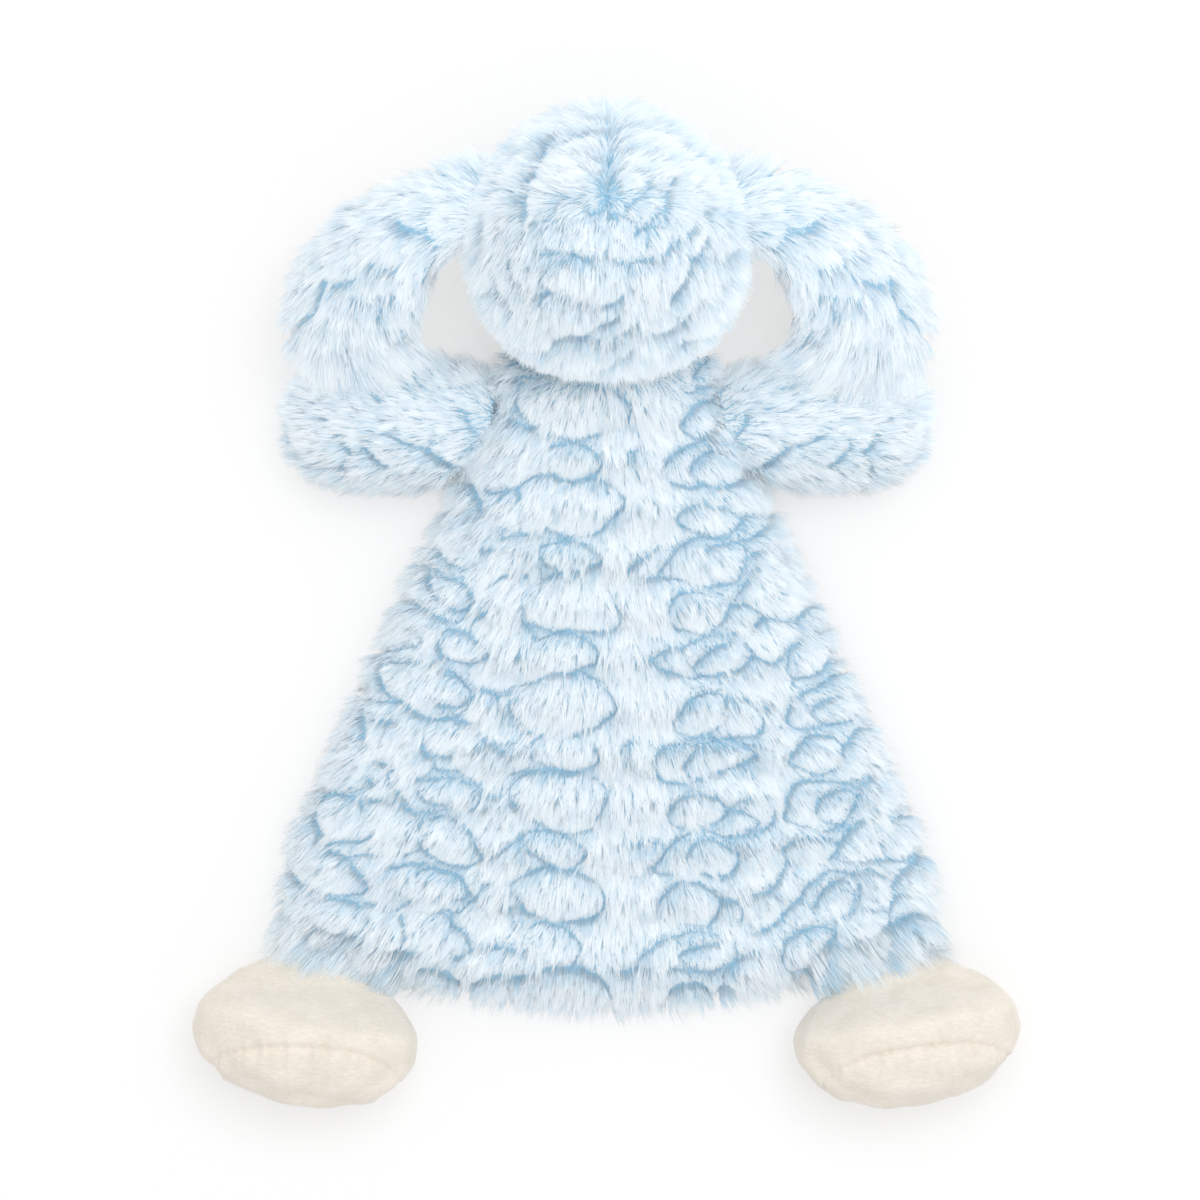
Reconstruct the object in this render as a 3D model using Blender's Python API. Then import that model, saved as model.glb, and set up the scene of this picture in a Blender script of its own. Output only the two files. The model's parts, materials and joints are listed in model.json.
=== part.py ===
"""A puppy comfort blanket lovey in plush, lying on its front with its back up.

Blender 4.5, metres, +Z up. +Y runs towards the crown of the head, and the toy's own left is at -X.
The origin is on the surface that the toy lies on, below the middle of its length and width.
Every cover panel, lining, filling and stitched feature is its own object.
"""

import math

import bmesh
import bpy
from mathutils import Matrix, Vector

# Cloth, filling and seams
plush_thickness = 0.006
velour_thickness = 0.002
seam_gap = 0.0003
pressed_depth = 0.0005
cutter_overrun = 0.020

# Torso: a flared, lightly wadded blanket body
torso_length = 0.2095
torso_half_width = 0.1113
hem_thickness = 0.0164
hem_rise = 0.022
chest_height = 0.030
chest_underside = 0.007
torso_seam_height = 0.0082
torso_crown_share = 0.18

# Rows of scales embossed in the back's pile, with a groove between each two rows
scale_pitch = 0.0162
scale_rows = 12
first_scale_row = 0.0075
scale_groove_depth = 0.0036
scale_groove_waver = 0.25

# More room under the back's half rows, whose faces lie across the wadding's diagonals
wadding_ease = 0.00015

# Neck: the rounded top edge of the torso, which the head turns on
neck_radius = 0.013
neck_height = 0.020
neck_tilt_back = 22.0
neck_nod = 15.0

# Head
head_half_width = 0.045
head_half_length = 0.0442
head_half_depth = 0.0365
head_height = 0.050
head_above_neck = 0.0447
head_roundness = 2.15
cheek_share = 0.06

# Muzzle, nose, eyes and mouth
muzzle_half_width = 0.024
muzzle_half_length = 0.016
muzzle_half_depth = 0.0165
muzzle_above_neck = 0.0315
nose_half_width = 0.0065
nose_half_length = 0.0045
nose_half_depth = 0.0016
nose_above_muzzle = 0.0100
eye_radius = 0.0036
eye_half_depth = 0.0014
eye_spacing = 0.031
eye_above_muzzle = 0.0255
mouth_thread_radius = 0.0006
mouth_half_width = 0.0075
mouth_below_muzzle = 0.0098
mouth_curl = 0.0026

# Ears: an outer plush layer over a velour lining, bent down at the tip
ear_reach = 0.0560
ear_fall = 0.0470
ear_root_half_width = 0.0150
ear_root_radius = 0.0040
ear_half_thickness = 0.0062
ear_droop = 0.0140
ear_root_above_neck = 0.0552
ear_root_clearance = 0.0040
ear_slant = 12.0
ear_edge = 0.0006
ear_layer_gap = 0.0004
ear_lining_share = 0.32

# Arms
arm_half_length = 0.0345
arm_half_width = 0.0200
arm_half_depth = 0.0175
arm_below_neck = 0.0128
arm_reach = 0.0435
arm_slant = 20.0
arm_hinge_height = 0.0155
arm_hinge_radius = 0.0155
arm_lift = 42.0
arm_drop = 42.0
arm_roundness = 2.5
arm_side_clearance = 0.0006

# Feet
foot_half_width = 0.0365
foot_half_length = 0.0250
foot_half_depth = 0.0222
foot_reach = 0.0275
foot_splay = 17.0
foot_hem_share = 0.83
foot_lift = 72.0
foot_drop = 45.0
foot_roundness = 2.3
foot_side_clearance = 0.0008
sole_setback = 0.0145
sole_splay = 6.0
sole_tilt = 68.0

# How finely the round forms are faceted
ball_segments = 18
ball_rings = 10
small_segments = 12
small_rings = 8

# Along the torso from the neck hinge to the hem: how far, its half-width, its back's height and its
# belly's clearance over the table, as shares of the torso's length, half-width, chest height
# and chest underside
torso_shares = (
    (-0.065, 0.335, 1.10, 1.0),
    (0.00, 0.365, 1.10, 1.0),
    (0.07, 0.415, 1.04, 0.55),
    (0.15, 0.475, 1.00, 0.0),
    (0.25, 0.565, 0.93, 0.0),
    (0.36, 0.660, 0.85, 0.0),
    (0.50, 0.768, 0.76, 0.0),
    (0.66, 0.885, 0.68, 0.0),
    (0.80, 0.975, 0.61, 0.0),
    (0.90, 1.000, 0.57, 0.0),
    (1.00, 0.985, 0.547, 0.0),
)

# Along an ear from its root: its upper edge's reach and fall, its lower edge's reach and fall,
# its half-thickness and its droop, as shares of the ear's own
ear_shares = (
    (0.070, -0.310, 0.095, 0.362, 0.72, 0.00),
    (0.241, -0.247, 0.138, 0.468, 0.80, 0.04),
    (0.448, -0.160, 0.198, 0.606, 0.90, 0.15),
    (0.655, -0.021, 0.259, 0.755, 0.98, 0.30),
    (0.845, 0.170, 0.336, 0.872, 1.00, 0.50),
    (0.966, 0.426, 0.431, 0.947, 0.97, 0.68),
    (1.000, 0.660, 0.534, 0.985, 0.88, 0.82),
    (0.957, 0.840, 0.647, 1.000, 0.70, 0.92),
    (0.879, 0.947, 0.759, 1.000, 0.45, 1.00),
)
ear_root_shares = (-0.85, -0.5, 0.0)
ear_across_shares = (-1.0, -0.85, -0.5, 0.0, 0.5, 0.85, 1.0)

# Places that follow from the sizes above, with Y counted from the neck hinge
head_centre_y = head_above_neck
foot_angle = math.radians(foot_splay)


def share_at(rows, along, column):
    """A smooth curve through one column of a table of shares, read at a share of the length."""
    last = len(rows) - 1
    index = max(i for i in range(last) if rows[i][0] <= along or i == 0)
    start, end = rows[index], rows[index + 1]
    before, after = rows[max(index - 1, 0)], rows[min(index + 2, last)]
    span = end[0] - start[0]
    part = min(max((along - start[0]) / span, 0.0), 1.0)
    slope_in = (end[column] - before[column]) / (end[0] - before[0]) * span
    slope_out = (after[column] - start[column]) / (after[0] - start[0]) * span
    square, cube = part**2, part**3
    return (
        (2 * cube - 3 * square + 1) * start[column]
        + (cube - 2 * square + part) * slope_in
        + (3 * square - 2 * cube) * end[column]
        + (cube - square) * slope_out
    )


def torso_half_width_at(share):
    return torso_half_width * share_at(torso_shares, share, 1)


def hem_lift(across):
    """How far the curved hem rises towards the corners, at a share of the half-width."""
    return hem_rise * across**2


hinge_arm_x = (
    torso_half_width_at(arm_below_neck / torso_length) - arm_hinge_radius
)
foot_hinge_x = foot_hem_share * torso_half_width_at(1.0)
foot_hinge_y = (
    hem_lift(foot_hem_share)
    - torso_length
    + hem_thickness / 2 / math.cos(foot_angle)
)
foot_centre_y = foot_hinge_y - foot_reach * math.cos(foot_angle)
foot_bottom_y = foot_centre_y - math.hypot(
    foot_half_width * math.sin(foot_angle), foot_half_length * math.cos(foot_angle)
)
neck_y = -(head_centre_y + head_half_length + foot_bottom_y) / 2


def clear_scene():
    for old in list(bpy.data.objects):
        bpy.data.objects.remove(old)


def new_collection(name):
    collection = bpy.data.collections.new(name)
    bpy.context.scene.collection.children.link(collection)
    return collection


def new_material(name, colour, roughness):
    material = bpy.data.materials.new(name)
    material.use_nodes = True
    shader = material.node_tree.nodes["Principled BSDF"]
    shader.inputs["Base Color"].default_value = (*colour, 1.0)
    shader.inputs["Roughness"].default_value = roughness
    shader.inputs["Metallic"].default_value = 0.0
    material.diffuse_color = (*colour, 1.0)
    return material


clear_scene()
toy = new_collection("comfort_blanket_lovey")
cutters = new_collection("cutters")
blue_plush = new_material("blue_plush", (0.62, 0.79, 0.90), 0.95)
cream_velour = new_material("cream_velour", (0.83, 0.78, 0.70), 0.85)
white_filling = new_material("white_filling", (0.90, 0.90, 0.88), 1.0)
brown_thread = new_material("brown_thread", (0.14, 0.09, 0.07), 0.6)


def hinge_frame(location, direction):
    """A frame whose X axis lies along a hinge and whose Z axis is up."""
    along = Vector(direction).normalized()
    upward = Vector((0, 0, 1))
    frame = Matrix((along, upward.cross(along), upward)).transposed().to_4x4()
    return Matrix.Translation(location) @ frame


def add_carrier(name, frame, parent=None):
    """An empty on a joint's axis, which the pieces that move with the joint hang from."""
    carrier = bpy.data.objects.new(name, None)
    carrier.empty_display_size = neck_radius
    carrier.matrix_basis = frame
    carrier.parent = parent
    toy.objects.link(carrier)
    return carrier


def link_piece(name, mesh, material, carrier=None, frame=None):
    """A piece whose mesh was modelled in place, hung from its carrier with its origin on the joint."""
    mesh.name = name
    piece = bpy.data.objects.new(name, mesh)
    mesh.materials.append(material)
    toy.objects.link(piece)
    if carrier:
        mesh.transform(frame.inverted())
        piece.parent = carrier
    mesh.shade_smooth()
    mesh.set_sharp_from_angle(angle=math.radians(40))
    return piece


def link_cutter(name, mesh):
    mesh.name = name
    cutter = bpy.data.objects.new(name, mesh)
    cutter.hide_render = True
    cutter.display_type = "WIRE"
    cutters.objects.link(cutter)
    return cutter


def cut(piece, cutter, operation="DIFFERENCE"):
    boolean = piece.modifiers.new(cutter.name, "BOOLEAN")
    boolean.operation = operation
    boolean.object = cutter
    boolean.solver = "EXACT"


def ball_mesh(centre, radii, roundness, segments, rings, shape=None, turn=0.0):
    """A swollen form: a sphere squared off a little by its roundness, then stretched and shaped."""
    form = bmesh.new()
    bmesh.ops.create_uvsphere(form, u_segments=segments, v_segments=rings, radius=1)
    for vertex in form.verts:
        powers = sum(abs(c) ** roundness for c in vertex.co)
        unit = vertex.co / powers ** (1 / roundness)
        if shape:
            unit = shape(unit)
        vertex.co = Vector(c * r for c, r in zip(unit, radii))
    form.transform(Matrix.Translation(centre) @ Matrix.Rotation(turn, 4, "Z"))
    return finished(form)


def finished(form):
    """The form's mesh, with every face turned outwards."""
    form.normal_update()
    bmesh.ops.recalc_face_normals(form, faces=form.faces)
    if form.calc_volume(signed=True) < 0:
        bmesh.ops.reverse_faces(form, faces=form.faces)
    mesh = bpy.data.meshes.new("form")
    form.to_mesh(mesh)
    form.free()
    return mesh


def slab_mesh(columns, rows, outer, inner):
    """A closed sheet between two surfaces, each given as a point for a column and a row of a grid.

    Every square of the grid is split along the same diagonal, so neighbouring sheets stay parallel."""
    form = bmesh.new()
    bmesh.ops.create_grid(
        form, x_segments=columns - 1, y_segments=rows - 1, size=1
    )
    made = bmesh.ops.extrude_face_region(form, geom=form.faces[:])["geom"]
    outside = {v for v in made if isinstance(v, bmesh.types.BMVert)}
    for face in form.faces[:]:
        corners = sorted(face.verts, key=lambda v: v.co.x + v.co.y)
        first, last = corners[0], corners[-1]
        if first.co.x < last.co.x and first.co.y < last.co.y:
            bmesh.utils.face_split(face, first, last)
    for vertex in form.verts:
        column = round((vertex.co.x + 1) / 2 * (columns - 1))
        row = round((vertex.co.y + 1) / 2 * (rows - 1))
        surface = outer if vertex in outside else inner
        vertex.co = surface(column, row)
    return finished(form)


def box_mesh(low, high):
    form = bmesh.new()
    bmesh.ops.create_cube(form, size=1)
    low, high = Vector(low), Vector(high)
    size = high - low
    for vertex in form.verts:
        vertex.co = (low + high) / 2 + Vector(
            c * s for c, s in zip(vertex.co, size)
        )
    return finished(form)


def fan_mesh(frame, radius, lift, drop, half_length, reach):
    """What a rounded edge sweeps, as seen from the part that turns on it: a wedge with a round tip.

    The frame's X axis is the hinge, and the moving part lies towards its -Y."""
    steps = 8
    top, bottom = math.radians(90 - lift), -math.radians(90 - drop)
    arc = [top + (bottom - top) * i / steps for i in range(steps + 1)]
    section = [(radius * math.cos(a), radius * math.sin(a)) for a in arc]
    far_top = (
        section[0][0] - reach * math.sin(top),
        section[0][1] + reach * math.cos(top),
    )
    far_bottom = (
        section[-1][0] + reach * math.sin(bottom),
        section[-1][1] - reach * math.cos(bottom),
    )
    behind = (-2 * reach, 0)
    outline = [far_top, *section, far_bottom, behind]
    form = bmesh.new()
    face = form.faces.new(
        [form.verts.new((-half_length, -a, b)) for a, b in outline]
    )
    made = bmesh.ops.extrude_face_region(form, geom=[face])["geom"]
    for vertex in made:
        if isinstance(vertex, bmesh.types.BMVert):
            vertex.co.x = half_length
    form.transform(frame)
    return finished(form)


# Torso panels and wadding
edge_steps = 3
torso_middle_shares = [
    (first_scale_row + row * scale_pitch) / torso_length for row in range(scale_rows)
]
torso_across_shares = (-0.82, -0.55, -0.28, 0.0, 0.28, 0.55, 0.82)
torso_rows = len(torso_middle_shares) + 2 * edge_steps
torso_columns = len(torso_across_shares) + 2 * edge_steps


def edge_turn(step):
    """The angle of one step round a rounded edge, from the seam at 0 to the flat at a right angle."""
    return math.radians(90) * step / (edge_steps - 1)


def torso_seam_at(share):
    """The seam's height: low along the hem and sides, and rising to the neck."""
    rise = max(0.0, 1 - max(share, 0.0) / torso_shares[4][0])
    return torso_seam_height + (neck_height - torso_seam_height) * rise**2


def torso_point(column, row, inset, side):
    """A point on the back (side 1) or belly (side -1) of the torso, drawn in by an inset."""
    neck_end = neck_radius - inset
    hem_end = hem_thickness / 2 - inset
    if row < edge_steps:
        turn = edge_turn(row)
        along, edge = -neck_end * math.cos(turn), math.sin(turn)
    elif row >= torso_rows - edge_steps:
        turn = edge_turn(torso_rows - 1 - row)
        along = torso_length - hem_thickness / 2 + hem_end * math.cos(turn)
        edge = math.sin(turn)
    else:
        along, edge = torso_middle_shares[row - edge_steps] * torso_length, 1.0
    share = along / torso_length
    half_width = torso_half_width_at(share) - inset
    seam = torso_seam_at(share)
    back = chest_height * share_at(torso_shares, share, 2) - seam - inset
    under = chest_underside * share_at(torso_shares, share, 3)
    belly = seam - under - inset
    rounding = max(back, inset)
    if column < edge_steps:
        turn, sign = edge_turn(column), -1
    elif column >= torso_columns - edge_steps:
        turn, sign = edge_turn(torso_columns - 1 - column), 1
    else:
        turn, sign = None, 0
    if turn is None:
        across = torso_across_shares[column - edge_steps]
        x = across * (half_width - rounding)
        back_lift = 1 - torso_crown_share * across**2
        belly_lift = 1.0
    else:
        x = sign * (half_width - rounding + rounding * math.cos(turn))
        back_lift = (1 - torso_crown_share) * math.sin(turn)
        belly_lift = math.sin(turn)
    lift = back * back_lift if side > 0 else belly * belly_lift
    z = seam + side * (lift * edge + seam_gap / 2)
    y = neck_y - along + hem_lift(x / torso_half_width) * max(share, 0.0) ** 2
    return Vector((x, y, max(z, inset)))


def scale_groove_at(column, row):
    """The groove's depth between two rows of scales: less at every other place, and at the sides."""
    if not edge_steps <= column < torso_columns - edge_steps:
        return 0.0
    if not edge_steps <= row < torso_rows - edge_steps - 1:
        return 0.0
    across = torso_across_shares[column - edge_steps]
    meeting = 1 - scale_groove_waver * ((column + row) % 2)
    return scale_groove_depth * meeting * (1 - across**4)


def embossed_point(column, step, inset):
    """A point of the back panel at half steps from row to row, with its grooves on the outside."""
    row, between = divmod(step, 2)
    place = torso_point(column, row, inset, 1)
    if between:
        place = place.lerp(torso_point(column, row + 1, inset, 1), 0.5)
        if not inset:
            place.z -= scale_groove_at(column, row)
    return place


def torso_back_panel():
    mesh = slab_mesh(
        torso_columns,
        2 * torso_rows - 1,
        lambda c, r: embossed_point(c, r, 0.0),
        lambda c, r: embossed_point(c, r, plush_thickness - wadding_ease),
    )
    return link_piece("torso_back_panel", mesh, blue_plush)


def torso_front_panel():
    mesh = slab_mesh(
        torso_columns,
        torso_rows,
        lambda c, r: torso_point(c, r, 0.0, -1),
        lambda c, r: torso_point(c, r, plush_thickness, -1),
    )
    return link_piece("torso_front_panel", mesh, blue_plush)


def torso_wadding():
    inset = plush_thickness + seam_gap
    mesh = slab_mesh(
        torso_columns,
        torso_rows,
        lambda c, r: torso_point(c, r, inset, 1),
        lambda c, r: torso_point(c, r, inset, -1),
    )
    return link_piece("torso_wadding", mesh, white_filling)


torso_back_panel()
torso_front_panel()
torso_wadding()

# A slab under the table trims what is pressed flat against it, and taller ones trim inner layers
table_half_length = torso_length + head_half_length


def table_cutter(name, height):
    reach = table_half_length
    low = (-reach, -reach, -head_height)
    return link_cutter(name, box_mesh(low, (reach, reach, height)))


table = table_cutter("table", 0.0)
table_under_plush = table_cutter("table_under_plush", plush_thickness)
table_under_velour = table_cutter("table_under_velour", velour_thickness)
table_under_plush_filling = table_cutter(
    "table_under_plush_filling", plush_thickness + seam_gap
)
table_under_velour_filling = table_cutter(
    "table_under_velour_filling", velour_thickness + seam_gap
)

# Head: two back panels that meet on the middle seam, a face panel, and the filling
neck_frame = hinge_frame((0, neck_y, neck_height), (-1, 0, 0))
neck_hinge = add_carrier("neck_hinge", neck_frame)
head_centre = Vector((0, neck_y + head_above_neck, head_height))
head_size = Vector((head_half_width, head_half_length, head_half_depth))
head_reach = 2 * head_half_length
neck_fan = link_cutter(
    "neck_fan",
    fan_mesh(
        neck_frame,
        neck_radius + seam_gap,
        neck_tilt_back,
        neck_nod,
        head_half_width + cutter_overrun,
        head_reach,
    ),
)


def head_shape(unit):
    """Fuller at the cheeks than at the crown."""
    return Vector((unit.x * (1 - cheek_share * unit.y), unit.y, unit.z))


def head_mesh(inset):
    radii = [r - inset for r in head_size]
    return ball_mesh(
        head_centre, radii, head_roundness, ball_segments, ball_rings, head_shape
    )


def head_half_width_at(above_neck):
    """The head's half-width on its widest level, at a height above the neck hinge."""
    share = (above_neck - head_above_neck) / head_half_length
    round_part = (1 - abs(share) ** head_roundness) ** (1 / head_roundness)
    return head_half_width * round_part * (1 - cheek_share * share)


head_hollow = link_cutter("head_hollow", head_mesh(plush_thickness))
half_gap = seam_gap / 2
head_side = head_half_width + cutter_overrun
head_front = head_centre.y + head_side
head_rear = head_centre.y - head_side
head_above = head_height + head_side
head_below = head_height - head_side


def head_region(name, low, high):
    return link_cutter(name, box_mesh(low, high))


face_region = head_region(
    "face_region",
    (-head_side, head_rear, head_below),
    (head_side, head_front, head_height - half_gap),
)
left_back_region = head_region(
    "left_back_region",
    (-head_side, head_rear, head_height + half_gap),
    (-half_gap, head_front, head_above),
)
right_back_region = head_region(
    "right_back_region",
    (half_gap, head_rear, head_height + half_gap),
    (head_side, head_front, head_above),
)

# Ears: each turns on the seam between the face panel and a back panel
ear_hinge_x = head_half_width_at(ear_root_above_neck) + ear_root_clearance
ear_angle = math.radians(ear_slant)


def ear_frame(side):
    """The ear's frame: X along the hinge, and the ear lies towards -Y."""
    location = (side * ear_hinge_x, neck_y + ear_root_above_neck, head_height)
    direction = (-math.sin(ear_angle), side * math.cos(ear_angle), 0)
    return hinge_frame(location, direction)


def ear_groove(side, name):
    """The pinch in the head's cover that an ear's root sits in."""
    form = bmesh.new()
    bmesh.ops.create_cone(
        form,
        cap_ends=True,
        segments=small_segments,
        radius1=ear_root_radius + seam_gap,
        radius2=ear_root_radius + seam_gap,
        depth=4 * ear_root_half_width,
    )
    form.transform(ear_frame(side) @ Matrix.Rotation(math.radians(90), 4, "Y"))
    return link_cutter(name, finished(form))


left_ear_groove = ear_groove(-1, "left_ear_groove")
right_ear_groove = ear_groove(1, "right_ear_groove")


def head_panel(name, region, grooves):
    piece = link_piece(name, head_mesh(0.0), blue_plush, neck_hinge, neck_frame)
    cut(piece, region, "INTERSECT")
    cut(piece, head_hollow)
    cut(piece, neck_fan)
    for groove in grooves:
        cut(piece, groove)
    return piece


head_panel("face_panel", face_region, (left_ear_groove, right_ear_groove))
head_panel("head_back_left_panel", left_back_region, (left_ear_groove,))
head_panel("head_back_right_panel", right_back_region, (right_ear_groove,))
head_filling = link_piece(
    "head_filling",
    head_mesh(plush_thickness + seam_gap),
    white_filling,
    neck_hinge,
    neck_frame,
)
cut(head_filling, neck_fan)

# Muzzle: a velour dome sewn on the face, with its own filling
head_clear = link_cutter("head_clear", head_mesh(-seam_gap))
muzzle_centre = Vector(
    (0, neck_y + muzzle_above_neck, muzzle_half_depth - pressed_depth)
)
muzzle_size = Vector((muzzle_half_width, muzzle_half_length, muzzle_half_depth))


def muzzle_mesh(inset):
    radii = [r - inset for r in muzzle_size]
    return ball_mesh(muzzle_centre, radii, 2.0, small_segments, small_rings)


def muzzle_height_at(x, y, outset=0.0):
    """The height of the muzzle's underside at a place on it."""
    across = ((x - muzzle_centre.x) / (muzzle_half_width + outset)) ** 2
    along = ((y - muzzle_centre.y) / (muzzle_half_length + outset)) ** 2
    depth = (muzzle_half_depth + outset) * math.sqrt(1 - across - along)
    return muzzle_centre.z - depth


muzzle_hollow = link_cutter("muzzle_hollow", muzzle_mesh(velour_thickness))
cut(muzzle_hollow, table_under_velour)
muzzle_cover = link_piece(
    "muzzle_cover", muzzle_mesh(0.0), cream_velour, neck_hinge, neck_frame
)
for cutter in (table, head_clear, muzzle_hollow):
    cut(muzzle_cover, cutter)
muzzle_filling = link_piece(
    "muzzle_filling",
    muzzle_mesh(velour_thickness + seam_gap),
    white_filling,
    neck_hinge,
    neck_frame,
)
for cutter in (table_under_velour_filling, head_clear):
    cut(muzzle_filling, cutter)

# Nose, eyes and mouth, worked in thread on the face
muzzle_clear = link_cutter("muzzle_clear", muzzle_mesh(-seam_gap))
nose_y = muzzle_centre.y + nose_above_muzzle
nose_centre = Vector((0, nose_y, muzzle_height_at(0, nose_y)))
nose = link_piece(
    "nose",
    ball_mesh(
        nose_centre,
        (nose_half_width, nose_half_length, nose_half_depth),
        2.0,
        small_segments,
        small_rings,
    ),
    brown_thread,
    neck_hinge,
    neck_frame,
)
cut(nose, muzzle_clear)


def face_height_at(x, y):
    """The height of the face panel's surface at a place on it."""
    powers = (
        abs(x / head_half_width) ** head_roundness
        + abs((y - head_centre.y) / head_half_length) ** head_roundness
    )
    return head_height - head_half_depth * (1 - powers) ** (1 / head_roundness)


def add_eye(name, side):
    x, y = side * eye_spacing / 2, muzzle_centre.y + eye_above_muzzle
    piece = link_piece(
        name,
        ball_mesh(
            (x, y, face_height_at(x, y)),
            (eye_radius, eye_radius, eye_half_depth),
            2.0,
            small_segments,
            small_rings,
        ),
        brown_thread,
        neck_hinge,
        neck_frame,
    )
    cut(piece, head_clear)


add_eye("left_eye", -1)
add_eye("right_eye", 1)


def mouth_stitch():
    """A smile in one thread: two shallow curls that meet under the nose."""
    points = 9
    outset = seam_gap + mouth_thread_radius
    curve = bpy.data.curves.new("mouth_stitch", "CURVE")
    curve.dimensions = "3D"
    curve.bevel_depth = mouth_thread_radius
    curve.bevel_resolution = 1
    curve.use_fill_caps = True
    line = curve.splines.new("POLY")
    line.points.add(points - 1)
    for index, point in enumerate(line.points):
        along = 2 * index / (points - 1) - 1
        x = mouth_half_width * along
        curl = mouth_curl * math.sin(math.pi * abs(along))
        y = muzzle_centre.y - mouth_below_muzzle - curl
        z = max(muzzle_height_at(x, y, outset), mouth_thread_radius)
        place = neck_frame.inverted() @ Vector((x, y, z))
        point.co = (*place, 1)
    curve.materials.append(brown_thread)
    stitch = bpy.data.objects.new("mouth_stitch", curve)
    toy.objects.link(stitch)
    stitch.parent = neck_hinge
    return stitch


mouth_stitch()


def ear_section(row):
    """The lower and upper ends of one section across an ear, and its half-thickness.

    The first rows round off the root about the hinge, and the rest follow the table."""
    if row < len(ear_root_shares):
        outward = Vector((math.cos(ear_angle), math.sin(ear_angle), 0))
        along = Vector((-math.sin(ear_angle), math.cos(ear_angle), 0))
        share = ear_root_shares[row]
        middle = outward * share * ear_root_radius
        half = along * ear_root_half_width
        return middle - half, middle + half, ear_root_radius * math.sqrt(1 - share**2)
    top_out, top_down, low_out, low_down, thickness, droop = ear_shares[
        row - len(ear_root_shares)
    ]
    height = -droop * ear_droop
    low = Vector((low_out * ear_reach, -low_down * ear_fall, height))
    top = Vector((top_out * ear_reach, -top_down * ear_fall, height))
    return low, top, thickness * ear_half_thickness


def ear_point(column, row, level):
    """A point of an ear that reaches towards +X: level -1 is its lining's outside, 1 its plush's."""
    low, top, half_thickness = ear_section(row)
    share = ear_across_shares[column]
    swell = math.sqrt(1 - share**2) * (half_thickness - ear_edge)
    split = (2 * ear_lining_share - 1) * swell
    if abs(level) == 1:
        height = level * (swell + ear_edge)
    else:
        height = split + level * ear_layer_gap
    return low.lerp(top, (share + 1) / 2) + Vector((0, 0, height))


def ear_layer(name, side, levels, material, carrier, frame):
    def surface(level):
        def point(column, row):
            made = ear_point(column, row, level)
            root = Vector((ear_hinge_x, neck_y + ear_root_above_neck, head_height))
            placed = root + made
            return Vector((side * placed.x, placed.y, placed.z))

        return point

    rows = len(ear_root_shares) + len(ear_shares)
    mesh = slab_mesh(
        len(ear_across_shares), rows, surface(levels[1]), surface(levels[0])
    )
    return link_piece(name, mesh, material, carrier, frame)


def add_ear(side, label):
    frame = ear_frame(side)
    from_neck = neck_frame.inverted() @ frame
    carrier = add_carrier(f"{label}_ear_hinge", from_neck, neck_hinge)
    ear_layer(f"{label}_ear_plush", side, (0.5, 1), blue_plush, carrier, frame)
    ear_layer(f"{label}_ear_lining", side, (-1, -0.5), cream_velour, carrier, frame)


# Limbs: an outer cover in two panels round a filling, cut clear of the torso all through its swing
def add_limb(label, names, cover, thickness, mesh_of, regions, frame, fan, tables):
    """A limb's two cover panels and its filling, hung on its hinge."""
    carrier = add_carrier(f"{label}_hinge", frame)
    flat, flat_inside, flat_filling = tables
    hollow = link_cutter(f"{label}_hollow", mesh_of(thickness))
    cut(hollow, flat_inside)
    for name, region in zip(names, regions):
        panel = link_piece(f"{label}_{name}", mesh_of(0.0), cover, carrier, frame)
        for cutter in (flat, hollow, fan):
            cut(panel, cutter)
        cut(panel, region, "INTERSECT")
    filling = link_piece(
        f"{label}_filling",
        mesh_of(thickness + seam_gap),
        white_filling,
        carrier,
        frame,
    )
    for cutter in (flat_filling, fan):
        cut(filling, cutter)


def split_boxes(label, frame, reach):
    """Two boxes, above and below the XY plane of a frame, with the seam's gap between them."""
    boxes = []
    for name, low, high in (("upper", half_gap, reach), ("lower", -reach, -half_gap)):
        mesh = box_mesh((-reach, -reach, low), (reach, reach, high))
        mesh.transform(frame)
        boxes.append(link_cutter(f"{label}_{name}_region", mesh))
    return boxes


def add_arm(side, label):
    slant = math.radians(arm_slant)
    hinge = (side * hinge_arm_x, neck_y - arm_below_neck, arm_hinge_height)
    frame = hinge_frame(hinge, (-math.sin(slant), side * math.cos(slant), 0))
    centre = Vector(
        (
            side * (hinge_arm_x + arm_reach),
            neck_y - arm_below_neck,
            arm_half_depth - pressed_depth,
        )
    )

    def mesh_of(inset):
        radii = [
            r - inset for r in (arm_half_length, arm_half_width, arm_half_depth)
        ]
        return ball_mesh(centre, radii, arm_roundness, ball_segments, small_rings)

    fan = link_cutter(
        f"{label}_arm_fan",
        fan_mesh(
            frame,
            arm_hinge_radius + arm_side_clearance,
            arm_lift,
            arm_drop,
            2 * arm_half_width,
            arm_half_length,
        ),
    )
    regions = split_boxes(f"{label}_arm", Matrix.Translation(centre), torso_half_width)
    add_limb(
        f"{label}_arm",
        ("back_panel", "front_panel"),
        blue_plush,
        plush_thickness,
        mesh_of,
        regions,
        frame,
        fan,
        (table, table_under_plush, table_under_plush_filling),
    )


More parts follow.
